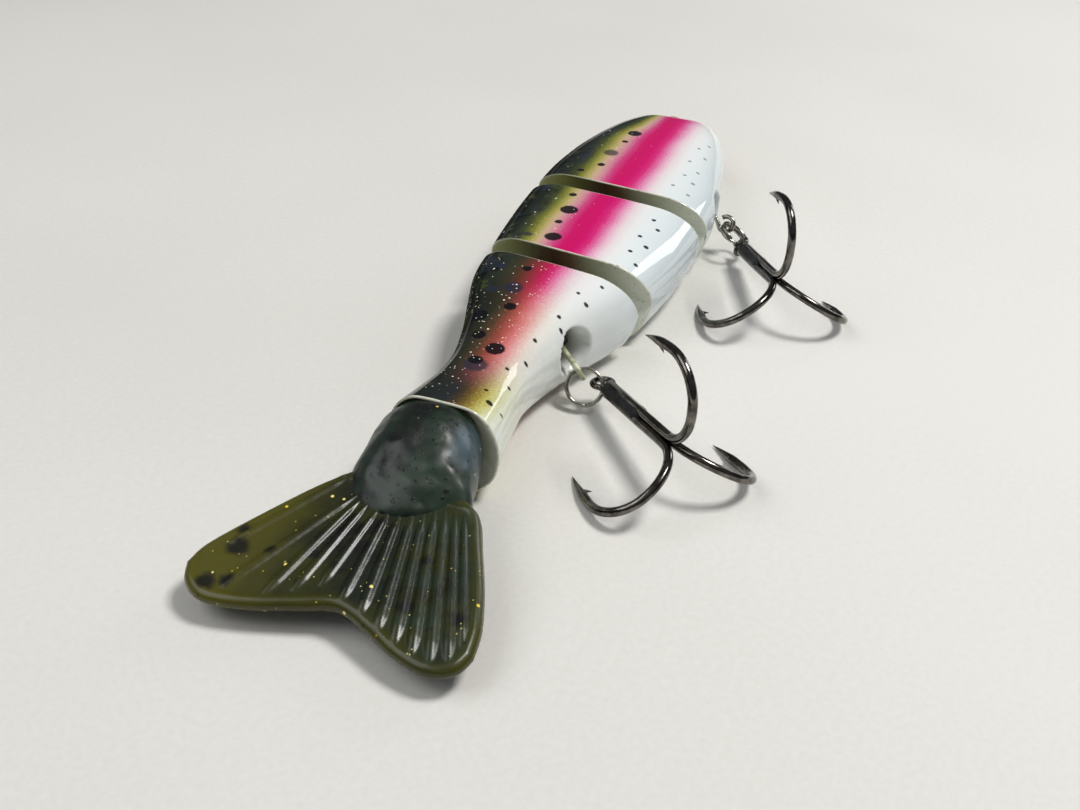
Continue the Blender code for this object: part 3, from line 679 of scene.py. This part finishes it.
# soft tail
tailShape = {
    # s, reach to the back, reach to the belly, half thickness, squareness, tailward bulge
    "socket": [(7.0, 8.0, 5.2, 6.6, 2.2, 0.0), (5.6, 9.0, 6.6, 7.9, 2.2, 0.0),
               (4.2, 9.7, 7.5, 8.4, 2.2, 0.0), (2.8, 10.1, 8.0, 8.7, 2.2, 0.0),
               (1.0, 10.3, 8.5, 8.8, 2.25, 0.0), (-1.4, 10.2, 9.2, 8.6, 2.25, 0.1),
               (-4.0, 10.0, 10.0, 7.9, 2.2, 0.4), (-6.6, 9.9, 10.5, 6.8, 2.2, 1.0),
               (-8.6, 9.8, 11.2, 5.4, 2.3, 1.7), (-10.0, 9.6, 11.6, 4.1, 2.4, 2.4),
               (-11.2, 9.4, 11.7, 3.0, 2.4, 3.0), (-12.2, 9.0, 11.2, 2.1, 2.3, 3.4),
               (-12.8, 8.4, 10.0, 1.2, 2.2, 3.5)],
    "socketDroop": (-9.0, 0.16),   # station past which the end follows the fin down, and its slope
    "socketSides": 96,
    "dents": [(0.17, 0.7), (0.36, 0.42)],  # scale and depth
    "dentsFrom": (5.0, 12.0),              # station where they start, and how far they grow
    "outline": [(-7.0, 6.5), (-9.8, 9.6), (-14.0, 13.4), (-20.0, 17.6), (-26.3, 21.6), (-31.0, 24.2),
                (-34.6, 25.0), (-37.6, 23.6), (-39.6, 20.8), (-40.0, 17.6), (-38.9, 11.7), (-36.4, 4.4),
                (-35.0, 0.4), (-35.2, -2.4), (-36.9, -6.4), (-39.4, -11.6), (-40.7, -16.4), (-40.4, -19.6),
                (-38.8, -21.9), (-35.9, -23.0), (-31.0, -22.3), (-24.3, -19.9), (-17.1, -16.6),
                (-12.0, -14.2), (-9.8, -11.8), (-7.0, -6.5)],
    "trailing": (6, 19),       # outline points between which the trailing edge runs
    "rootHalf": 2.35, "tipHalf": 1.1, "thinning": 28.0, "pivot": (-11.6, 8.6), "droop": 9.0,
    "bend": ((-9.5, 0.0, 8.8), (-15.0, 0.0, 8.2)),  # two places along the soft tail
    "edgeRound": 1.3, "edgeHalf": 0.1, "border": (1.25, 0.55, 0.12),  # the border's place, width and height
    "raysFrom": (0.9, 1.2), "wave": (0.09, 0.125), "underside": 0.94,
    # each ray: root s, root d, tip s, tip d, height, half width
    "rays": [(-12.5, 9.7, -28.8, 19.8, 0.30, 0.60), (-15.8, 6.8, -36.2, 16.6, 0.34, 0.70),
             (-16.7, 5.6, -35.6, 10.4, 0.42, 0.65), (-16.5, 3.9, -33.6, 6.6, 0.36, 0.60),
             (-17.0, 1.8, -31.5, 3.2, 0.36, 0.62), (-17.1, -0.2, -33.2, -0.9, 0.46, 0.66),
             (-17.2, -2.2, -34.4, -4.6, 0.48, 0.68), (-16.8, -4.2, -36.4, -8.2, 0.50, 0.70),
             (-16.4, -6.0, -37.2, -11.4, 0.52, 0.72), (-15.6, -7.6, -38.2, -14.5, 0.52, 0.72),
             (-15.1, -9.2, -38.4, -17.4, 0.50, 0.70), (-14.6, -10.8, -37.4, -19.8, 0.48, 0.66),
             (-14.3, -12.3, -34.2, -20.6, 0.42, 0.56)],
    "along": 130, "across": 190,
}


def socketPoint(row, angle):
    s, up, down, half, power, bulge = row
    cosine, sine = math.cos(angle), math.sin(angle)
    d = squared(cosine, power) * (up if cosine > 0.0 else down)
    height = squared(sine, power) * half
    reach = (d - 0.6) / 9.6  # the end bulges most at its middle
    return Vector((s - bulge * (1.25 - 1.35 * min(reach * reach, 0.95)), d, midZ + height))


def makeSocket(finish):
    rows = smoothRows(tailShape["socket"], 7)
    droopStart, droopSlope = tailShape["socketDroop"]
    dentStart, dentRun = tailShape["dentsFrom"]
    (broad, deep), (fine, shallow) = tailShape["dents"]
    bm = bmesh.new()

    def shape(k, angle):
        place = socketPoint(rows[k], angle)
        dents = noise.noise(place * broad + Vector((3.1, 0.0, 7.7))) * deep
        dents += noise.noise(place * fine) * shallow
        rise = place.z - midZ
        place.z += dents * clamped((dentStart - place.x) / dentRun) * min(max(rise / 4.0, -1.0), 1.0)
        place.z -= max(droopStart - place.x, 0.0) * droopSlope
        return place

    first, last = growTube(bm, tailShape["socketSides"], len(rows) - 1, shape)
    closeRing(bm, first)
    closeRing(bm, last)
    return addPiece("tailSocket", bm, [finish], None, ("tail_socket",))


def finShape():
    # four sides of the fin as smooth rows: root, trailing edge, back edge and belly edge
    points = tailShape["outline"]
    first, last = tailShape["trailing"]
    back = smoothRows(points[:first + 1], 12)
    trail = smoothRows(points[first:last + 1], 12)
    belly = smoothRows(list(reversed(points[last:])), 12)
    return back, trail, belly


def along(rows, share):
    # the point at a share of the length of a row of points
    lengths = [0.0]
    for a, b in zip(rows, rows[1:]):
        lengths.append(lengths[-1] + math.dist(a, b))
    goal = share * lengths[-1]
    for i in range(len(rows) - 1):
        if lengths[i + 1] >= goal:
            t = (goal - lengths[i]) / max(lengths[i + 1] - lengths[i], 1e-9)
            return Vector([a + (b - a) * t for a, b in zip(rows[i], rows[i + 1])])
    return Vector(rows[-1])


def rayLift(s, d):
    # height of the raised rays at a place, with soft roots and pointed tips
    lift = 0.0
    for rootS, rootD, tipS, tipD, height, width in tailShape["rays"]:
        run = Vector((tipS - rootS, tipD - rootD))
        share = ((s - rootS) * run.x + (d - rootD) * run.y) / run.length_squared
        if not -0.12 < share < 1.06:
            continue
        away = abs((s - rootS) * run.y - (d - rootD) * run.x) / run.length
        here = width * (1.0 + 0.6 * share)
        taper = clamped((1.06 - share) / 0.16) ** 0.7 * clamped((share + 0.12) / 0.2)
        profile = max(1.0 - (away / (here * (0.35 + 0.65 * taper))) ** 2, 0.0) ** 1.1
        lift = max(lift, height * profile * taper)
    return lift


def nearestEdge(flat, outline):
    # the distance to the outline, for a place that is close to it
    best = 9.0
    for a, b in zip(outline, outline[1:]):
        if (flat - a).length <= 6.0:
            run = b - a
            share = clamped((flat - a).dot(run) / max(run.length_squared, 1e-9))
            best = min(best, (flat - a - run * share).length)
    return best


def makeFin(finish):
    # a grid stretched between the four sides, then given its thickness, border, rays and droop
    back, trail, belly = finShape()
    rootBack, rootBelly = Vector(back[0]), Vector(belly[0])
    tipBack, tipBelly = Vector(trail[0]), Vector(trail[-1])
    outline = [Vector(p) for p in back + trail[1:] + list(reversed(belly))[1:]]
    nAlong, nAcross = tailShape["along"], tailShape["across"]
    backRow = [along(back, i / nAlong) for i in range(nAlong + 1)]
    bellyRow = [along(belly, i / nAlong) for i in range(nAlong + 1)]
    trailRow = [along(trail, j / nAcross) for j in range(nAcross + 1)]
    bm = bmesh.new()
    bmesh.ops.create_grid(bm, x_segments=nAlong, y_segments=nAcross, size=1.0)
    edge = bm.verts.layers.float.new("edge")
    lifts = {}
    for v in bm.verts:
        i, j = round((v.co.x + 1.0) / 2.0 * nAlong), round((v.co.y + 1.0) / 2.0 * nAcross)
        u, w = i / nAlong, j / nAcross
        root = rootBack.lerp(rootBelly, w)
        corner = root.lerp(tipBack.lerp(tipBelly, w), u)
        place = root.lerp(trailRow[j], u) + backRow[i].lerp(bellyRow[i], w) - corner
        v.co = Vector((place.x, place.y, 0.0))
        away = min((place - p).length for p in outline[::3])
        v[edge] = nearestEdge(v.co.xy, outline) if away < 4.0 else away
    station, level = tailShape["pivot"]
    borderAt, borderWidth, borderLift = tailShape["border"]
    raysFrom, raysRise = tailShape["raysFrom"]
    waveScale, waveLift = tailShape["wave"]
    thin = tailShape["edgeHalf"]
    for v in bm.verts:
        s, d, away = v.co.x, v.co.y, v[edge]
        share = math.sqrt(clamped((station - s) / tailShape["thinning"]))
        half = tailShape["rootHalf"] + (tailShape["tipHalf"] - tailShape["rootHalf"]) * share
        roundness = math.sqrt(max(1.0 - (1.0 - min(away / tailShape["edgeRound"], 1.0)) ** 2, 0.0))
        border = math.exp(-((away - borderAt) / borderWidth) ** 2) * borderLift
        rays = rayLift(s, d) * clamped((away - raysFrom) / raysRise)
        wave = noise.noise(Vector((s * waveScale, d * waveScale, 1.7))) * waveLift
        lifts[(round(s, 4), round(d, 4))] = (thin + (half - thin) * roundness + border + rays, wave)
    moved = bmesh.ops.extrude_face_region(bm, geom=bm.faces[:])["geom"]
    upper = {g for g in moved if isinstance(g, bmesh.types.BMVert)}
    for v in bm.verts:
        height, wave = lifts[(round(v.co.x, 4), round(v.co.y, 4))]
        v.co.z = (height if v in upper else -height * tailShape["underside"]) + wave
    tilt = Matrix.Rotation(math.radians(-tailShape["droop"]), 4, "Y")
    tip = Matrix.Translation((station, 0.0, level)) @ tilt @ Matrix.Translation((-station, 0.0, 0.0))
    bmesh.ops.transform(bm, matrix=tip, verts=bm.verts[:])
    return addPiece("tailFin", bm, [finish], None, ("tail_fin",), 0.0)


softPaint = {
    "finDeep": "0f1507", "finOlive": "2c2f07", "finYellow": "56520a", "finCool": "1b3022", "blotch": "030402",
    "finBlotches": [(-26.6, 19.6, 1.0), (-30.0, 18.6, 1.7), (-37.1, 19.9, 1.5), (-35.6, 17.2, 1.2),
                    (-28.9, 13.6, 0.9), (-27.3, 7.1, 1.1), (-21.8, 4.4, 1.5), (-19.4, 4.6, 1.2),
                    (-19.3, 0.6, 1.6), (-23.5, 1.0, 1.5), (-20.6, 2.4, 1.4), (-24.6, 4.6, 1.0),
                    (-28.4, 2.4, 0.8), (-31.6, -10.5, 1.3), (-23.3, -10.1, 1.2), (-31.1, -18.9, 1.2),
                    (-27.5, -6.5, 0.8)],
    "finFlake": ("f0cc30", "fff39a"),
    "finLook": {"Coat Weight": 0.42, "Coat Roughness": 0.25, "Roughness": 0.3, "Subsurface Weight": 0.08,
                "Subsurface Radius": (0.9, 0.8, 0.2), "Subsurface Scale": 0.0015},
    # the grey tone below is a painted sheen for reflected light
    "socketGreen": "16301c", "socketPaintedSheenGrey": "2c352e", "socketBlue": "40545f", "socketDark": "050b07",
    "pepper": "020302", "socketFlake": ("e0c04a", "f3f3e6"),
    "socketLook": {"Coat Weight": 0.5, "Coat Roughness": 0.3, "Roughness": 0.4, "Subsurface Weight": 0.05,
                   "Subsurface Scale": 0.002},
}


def softTone(name):
    return tint(softPaint[name])


def softFinish(name, look):
    return newFinish(name, {"Coat IOR": 1.45, "Specular IOR Level": 0.3, **softPaint[look]})


def finRubber():
    # translucent olive soft plastic with soot-black blotches and gold flake, and a painted glow along its
    # thin border
    finish, shader, place = softFinish("finRubber", "finLook")
    s, d, _ = lurePlace(place)
    cloud = place.noise(110.0, 3.0, 0.55)
    patch = place.noise(260.0, 2.0)
    colour = cloud.smooth(0.35, 0.65).mixed(softTone("finDeep"), softTone("finOlive"))
    edge = place.node("Attribute", {"attribute_name": "edge"}, {}, "Fac")
    rim = edge.smooth(2.6, 0.4)
    colour = (d.smooth(6.0, 20.0) * 0.75).mixed(colour, softTone("finYellow"))
    colour = (d.smooth(2.0, -12.0) * patch.smooth(0.35, 0.65) * 0.55).mixed(colour, softTone("finCool"))
    # painted glow: the thin border is tinted yellow as if light shone through it
    colour = (rim * 0.35).mixed(colour, softTone("finYellow"))
    bend = (place.noise(420.0, 2.0) - 0.5) * 2.2
    blots = discs(s + bend, d + bend * 0.8, softPaint["finBlotches"], 0.65)
    colour = (blots * 0.93).mixed(colour, softTone("blotch"))
    soot, _ = flakes(place, 560.0, 0.2, 0.16)
    colour = (soot * 0.9).mixed(colour, softTone("blotch"))
    gold, warm = flakes(place, 420.0, 0.15, 0.24)
    dust, _ = flakes(place, 1300.0, 0.22, 0.1)
    glint = gold.most(dust * 0.5)
    colour = glint.mixed(colour, warm.mixed(*tints(softPaint["finFlake"])))
    feed(shader, "Base Color", colour)
    feed(shader, "Roughness", 0.24 + patch * 0.2 - glint * 0.1)
    bumped(shader, place.noise(650.0, 2.0) * 0.12 + patch, 0.3, 0.0006)
    return finish


def socketRubber():
    # dark green skin with a painted grey sheen standing in for reflected light, a cold blue side and trapped
    # black and gold flecks
    finish, shader, place = softFinish("socketRubber", "socketLook")
    s, d, _ = lurePlace(place)
    cloud = place.noise(130.0, 3.0, 0.6)
    patch = place.noise(60.0, 2.0)
    colour = cloud.smooth(0.36, 0.64).mixed(softTone("socketDark"), softTone("socketGreen"))
    # painted sheen: grey patches in the colour stand in for reflections of the lamps
    paintedSheen = (patch + cloud * 0.4).smooth(0.62, 0.86)
    colour = (paintedSheen * 0.55).mixed(colour, softTone("socketPaintedSheenGrey"))
    side = d + (cloud - 0.5) * 4.0
    cold = side.smooth(-4.6, -6.6) * side.smooth(-10.5, -8.0) * s.smooth(-8.0, -4.0)
    colour = (cold * 0.75).mixed(colour, softTone("socketBlue"))
    pepper, _ = flakes(place, 900.0, 0.32, 0.5)
    coarse, _ = flakes(place, 480.0, 0.24, 0.42)
    colour = (pepper.most(coarse) * 0.95).mixed(colour, softTone("pepper"))
    gold, warm = flakes(place, 450.0, 0.13, 0.3)
    colour = gold.mixed(colour, warm.mixed(*tints(softPaint["socketFlake"])))
    feed(shader, "Base Color", colour)
    feed(shader, "Roughness", 0.3 + cloud * 0.3)
    height = place.noise(210.0, 2.0) + cloud * 0.8 + pepper * 0.15 + coarse * 0.25
    bumped(shader, height, 0.6, 0.0009)
    return finish


# metal and plain plastic
hardLooks = {
    # name, roughness, metallic, dark and light tone, grain
    "nickel": ("brightNickel", 0.18, 1.0, "7a776e", "bcb9ad", 600.0),
    "black": ("blackNickel", 0.13, 1.0, "4a4743", "7a7670", 500.0),
    "braze": ("darkBraze", 0.5, 0.7, "1c1d1f", "303234", 900.0),
    "lead": ("greyLead", 0.55, 0.9, "4a4b4e", "6c6d70", 400.0),
    "plastic": ("blackPlastic", 0.45, 0.0, "101112", "222426", 800.0),
}
hardPieces = {  # pieces whose CAD shape is shown as it is
    "head_ballast": "lead", "middle_ballast": "lead", "front_joint_pin": "nickel", "rear_joint_pin": "nickel",
    "tail_pin": "nickel", "tail_peg": "plastic", "front_socket": "plastic", "rear_socket": "plastic",
}
ivoryLook = {"Roughness": 0.35, "Coat Weight": 0.8, "Coat Roughness": 0.08}
ivoryTones = ("d8d9b8", "a3a582")


def hardFinish(name, roughness, metallic, dark, light, grain):
    finish, shader, place = newFinish(name, {"Metallic": metallic})
    tone = place.noise(grain, 3.0, 0.6)
    fine = place.noise(grain * 7.0, 2.0)
    feed(shader, "Base Color", tone.smooth(0.3, 0.7).mixed(tint(dark), tint(light)))
    feed(shader, "Roughness", roughness + (fine - 0.5) * 0.12)
    bumped(shader, fine, 0.06, 0.0002)
    return finish


def ivoryWire():
    # hanger wire with body paint over it, thinner where the ring rubs
    finish, shader, place = newFinish("ivoryWire", ivoryLook)
    tone = place.noise(700.0, 3.0)
    feed(shader, "Base Color", tone.smooth(0.35, 0.7).mixed(*tints(ivoryTones)))
    feed(shader, "Roughness", 0.3 + tone * 0.15)
    bumped(shader, tone, 0.2, 0.0003)
    return finish


# hooks, rings and wire eyes
hooks = {
    "length": 34.7, "spread": 17.3, "wire": 0.85, "shankOffset": 0.98,
    "shank": (2.9, 10.0, 18.0, 26.025),  # places along the shank, the last where the bend starts
    "bendOut": 9.4, "pointBend": 27.3,   # how far out the bend is deepest, and where its outer half ends
    # the spear: distance along, distance inside the spread, wire radius
    "spear": [(25.4, 0.05, 0.867), (23.2, 0.2, 0.833), (21.2, 0.42, 0.612), (19.4, 0.7, 0.357),
              (17.5, 1.05, 0.05)],
    "barb": {"at": (22.6, 0.55), "reach": 1.9, "lift": 1.25, "tuck": 1.3, "radii": [0.12, 0.42, 0.30, 0.04]},
    # the brazed sleeve: distance along, radius
    "sleeve": [(2.5, 1.2636), (3.0, 1.62), (3.6, 1.6524), (8.0, 1.62), (13.0, 1.5876), (15.4, 1.6686),
               (15.9, 1.458), (16.6, 0.972)],
    "eyeRadius": 1.9, "eyeWire": 0.6, "eyeGap": 42.0, "eyeTails": [(6.0, 0.5), (3.4, 0.8)],
}
splitRing = {"radius": 3.45, "wire": 0.4, "gap": 0.05, "start": 60.0, "turn": 700.0, "steps": 140,
             "crossing": (0.44, 0.12), "endLength": 0.02, "endWire": 0.55}
wireEye = {"start": 334.0, "end": 38.0, "steps": 40, "neck": (0.9, 0.16, 2.0)}
hanger = {"radius": 1.75, "wire": 0.52, "buried": 4.0}
lineTie = {"centre": (158.4, -1.5, midZ), "radius": 2.1, "wire": 0.6, "length": 17.0}
jointEyes = {"levels": (("upper", 8.5), ("lower", -9.0)), "radius": 2.3, "wire": 0.8, "buried": 9.0}
chains = {
    "front": {"root": (113.4, -18.2, 9.1), "loop": (111.9, -23.4, 7.4), "facing": (0.88, 0.16, -0.45),
              "eye": (108.05, -28.25, 4.45), "axis": (-0.866, -0.453, 0.213), "eyeRoll": 60.0,
              "ringFacing": (0.0, 0.70, -0.80), "ringSide": 1.0},
    "rear": {"root": (42.0, -7.8, 9.5), "loop": (39.0, -12.4, 6.8), "facing": (-0.50, 0.73, -0.41),
             "eye": (38.8, -17.5, 5.4), "axis": (-0.721, -0.672, 0.169), "eyeRoll": 0.0,
             "ringFacing": (0.78, 0.08, -0.62), "ringSide": -1.0},
}


def arc(centre, first, second, radius, start, end, steps):
    turns = [math.radians(start + (end - start) * i / steps) for i in range(steps + 1)]
    return [centre + first * math.cos(t) * radius + second * math.sin(t) * radius for t in turns]


def hookPath():
    # one hook in its own plane: distance along the shank's axis, distance out from it, wire radius
    length, spread, radius, offset = hooks["length"], hooks["spread"], hooks["wire"], hooks["shankOffset"]
    bend, out, back = hooks["shank"][-1], hooks["bendOut"], hooks["pointBend"]
    turns = [math.radians(18.0 * i) for i in range(1, 6)]
    plan = [(place, offset, radius) for place in hooks["shank"]]
    for t in turns:
        plan.append((bend + (length - bend) * math.sin(t), offset + out * (1.0 - math.cos(t)), radius))
    for t in turns:
        over = offset + out + (spread - offset - out) * math.sin(t)
        plan.append((back + (length - back) * math.cos(t), over, radius))
    plan += [(place, spread - inside, thin) for place, inside, thin in hooks["spear"]]
    return smoothRows(plan, 5)


def makeTreble(name, chain, body, node, finishes):
    # three hooks with barbs round one axis, the eye's wire, and a brazed sleeve over the shanks
    eye = Vector(chain["eye"])
    main, up, _ = basis(chain["axis"], (0.0, 0.0, 1.0))
    bm = bmesh.new()
    path = hookPath()
    barb = hooks["barb"]
    for turn in (0.0, 120.0, 240.0):
        outwards = Quaternion(main, math.radians(turn)) @ up
        wire(bm, [eye + main * a + outwards * o for a, o, r in path], [r for a, o, r in path], 18)
        root = eye + main * barb["at"][0] + outwards * (hooks["spread"] - barb["at"][1])
        tip = root + main * barb["reach"] - outwards * barb["lift"]
        wire(bm, [root - main * barb["tuck"], root, root.lerp(tip, 0.45), tip], barb["radii"], 10)
    hookFaces = set(bm.faces)
    sleeve = smoothRows(hooks["sleeve"], 4)
    wire(bm, [eye + main * a for a, r in sleeve], [r for a, r in sleeve], 24)
    for face in set(bm.faces) - hookFaces:
        face.material_index = 1
    side = main.cross(Quaternion(main, math.radians(chain["eyeRoll"])) @ up)
    loop = arc(eye, main, side, hooks["eyeRadius"], hooks["eyeGap"], 360.0 - hooks["eyeGap"], 44)
    near, far = ([eye + main * a + side * o * sign for a, o in hooks["eyeTails"]] for sign in (1.0, -1.0))
    entry, leave = loop[0].lerp(near[1], 0.5), loop[-1].lerp(far[1], 0.5)
    wire(bm, smoothRows(near, 3)[:-1] + [entry] + loop + [leave] + far[::-1], hooks["eyeWire"], 16)
    return addPiece(name, bm, finishes, body, (node,), 0.0)


def makeSplitRing(name, chain, body, node, finish):
    # nearly two turns of wire side by side, which cross over half way
    loop, eye = Vector(chain["loop"]), Vector(chain["eye"])
    half = (eye - loop) / 2.0
    onward, facing, _ = basis(half, chain["ringFacing"])
    sideways = facing.cross(onward)
    radius, thick, count = splitRing["radius"], splitRing["wire"], splitRing["steps"]
    rise = math.sqrt(radius ** 2 - half.length_squared)
    centre = loop + half - sideways * rise * chain["ringSide"]
    crossAt, crossRun = splitRing["crossing"]
    points = []
    radii = []
    for i in range(count + 1):
        share = i / count
        turn = math.radians(splitRing["start"] + splitRing["turn"] * share)
        flat = onward * math.cos(turn) + sideways * math.sin(turn)
        shift = (eased((share - crossAt) / crossRun) - 0.5) * (2.0 * thick + splitRing["gap"])
        points.append(centre + flat * radius + facing * shift)
        taper = min(share, 1.0 - share) / splitRing["endLength"]
        radii.append(thick * min(1.0, splitRing["endWire"] + (1.0 - splitRing["endWire"]) * taper))
    bm = bmesh.new()
    wire(bm, points, radii, 14)
    return addPiece(name, bm, [finish], body, (node,), 0.0)


def makeWireEye(name, centre, shank, facing, size, length, body, node, finish):
    # an eye bent from wire, with a shank that runs into its body
    centre = Vector(centre)
    radius = size["radius"]
    main, _, across = basis(shank, facing)
    loop = arc(centre, main, across, radius, wireEye["start"], wireEye["end"], wireEye["steps"])
    bend, aside, straight = wireEye["neck"]
    neck = smoothRows([loop[-1], centre + main * (radius + bend) + across * radius * aside,
                       centre + main * (radius + straight), centre + main * length], 6)
    bm = bmesh.new()
    wire(bm, loop + neck[1:], size["wire"], 16)
    return addPiece(name, bm, [finish], body, (node,), 0.0)


def makeHardware(metals):
    nickel = metals["nickel"]
    for side, wireFinish in (("front", nickel), ("rear", metals["ivory"])):
        chain = chains[side]
        shank = Vector(chain["root"]) - Vector(chain["loop"])
        makeWireEye(side + "Hanger", chain["loop"], shank, chain["facing"], hanger,
                    shank.length + hanger["buried"], side + "_hanger", side + "_hanger", wireFinish)
        makeSplitRing(side + "SplitRing", chain, side + "_ring", side + "_split_ring", nickel)
        makeTreble(side + "Treble", chain, side + "_treble", side + "_treble",
                   [metals["black"], metals["braze"]])
    makeWireEye("lineTie", lineTie["centre"], (-1.0, 0.0, 0.0), (0.0, 0.0, 1.0), lineTie, lineTie["length"],
                "head", "line_tie", nickel)
    for side, owner, key in (("front", "head", "jointOne"), ("rear", "middle", "jointTwo")):
        joint = bodyShape[key]
        for level, d in jointEyes["levels"]:
            face = joint["front"] + bodyShape["notch"] + d * math.tan(math.radians(joint["slant"]))
            makeWireEye(side + level.title() + "JointEye", (joint["pivot"], d, midZ), (1.0, 0.0, 0.0),
                        (0.0, 1.0, 0.0), jointEyes, face - joint["pivot"] + jointEyes["buried"], owner,
                        side + "_joint_eye_" + level, nickel)


# fish eyes
fishEye = {
    "seat": (150.3, 1.0, 6.3), "outwards": (0.5, 0.1, 1.0),  # mirrored in z for the left eye
    "radius": 2.6, "flatness": 0.45, "sunk": 0.7,
    "look": {"Roughness": 0.12, "Coat Weight": 1.0, "Coat Roughness": 0.02},
    "iris": ("a8741c", "e0c25a"), "pupil": "060606", "socket": "1a1a14",
}


def eyePlace(sign):
    # the eye's seat from the middle plane, and the way it looks
    seat, outwards = Vector(fishEye["seat"]), Vector(fishEye["outwards"])
    seat.z *= sign
    outwards.z *= sign
    return seat, outwards.normalized()


def makeFishEye(side, sign):
    seat, outwards = eyePlace(sign)
    bm = bmesh.new()
    bmesh.ops.create_uvsphere(bm, u_segments=48, v_segments=24, radius=fishEye["radius"])
    centre = seat + Vector((0.0, 0.0, midZ)) - outwards * fishEye["sunk"]
    turn = outwards.to_track_quat("Z", "Y").to_matrix().to_4x4()
    flat = Matrix.Diagonal((1.0, 1.0, fishEye["flatness"], 1.0))
    bmesh.ops.transform(bm, matrix=Matrix.Translation(centre) @ turn @ flat, verts=bm.verts[:])
    finish = eyeFinish(side + "Iris", sign)
    addPiece(side + "FishEye", bm, [finish], "head", ("fish_eye_" + side,))


def eyeFinish(name, sign):
    # pupil, iris and dark socket by the distance from the line that the eye looks along
    finish, shader, place = newFinish(name, fishEye["look"])
    seat, outwards = eyePlace(sign)
    s, d, z = lurePlace(place)
    spot = place.node("CombineXYZ", {}, {"X": s, "Y": d, "Z": z})
    offset = spot.vector("SUBTRACT", tuple(seat))
    depth = offset.vector("DOT_PRODUCT", tuple(outwards), "Value")
    far = offset.vector("DOT_PRODUCT", offset, "Value")
    away = (far - depth * depth).most(0.0) ** 0.5
    streak = place.noise(1500.0, 2.0)
    iris = (streak + away * 0.15).smooth(0.4, 0.9).mixed(*tints(fishEye["iris"]))
    colour = away.smooth(1.25, 1.1).mixed(iris, tint(fishEye["pupil"]))
    feed(shader, "Base Color", away.smooth(2.15, 2.35).mixed(colour, tint(fishEye["socket"])))
    feed(shader, "Metallic", away.smooth(1.1, 1.3) * 0.5)
    return finish


def makeAll():
    makeCamera()
    makeStudio()
    edge, cup = edgePaint("rimEdge"), cupPaint("tailCup")
    paints = {part: [bodyPaint(part + "Paint", part), facePaint(part + "Face"), edge, cup]
              for part in ("head", "middle", "rear")}
    makeBodies(paints)
    socket = makeSocket(socketRubber())
    fin = makeFin(finRubber())
    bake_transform(socket)
    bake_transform(fin)
    metals = {key: hardFinish(*look) for key, look in hardLooks.items()}
    metals["ivory"] = ivoryWire()
    makeHardware(metals)
    makeFishEye("right", 1.0)
    makeFishEye("left", -1.0)
    for node, key in hardPieces.items():
        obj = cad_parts[node]
        obj.data.materials.clear()
        obj.data.materials.append(metals[key])
    print("kept nodes finished")


makeAll()
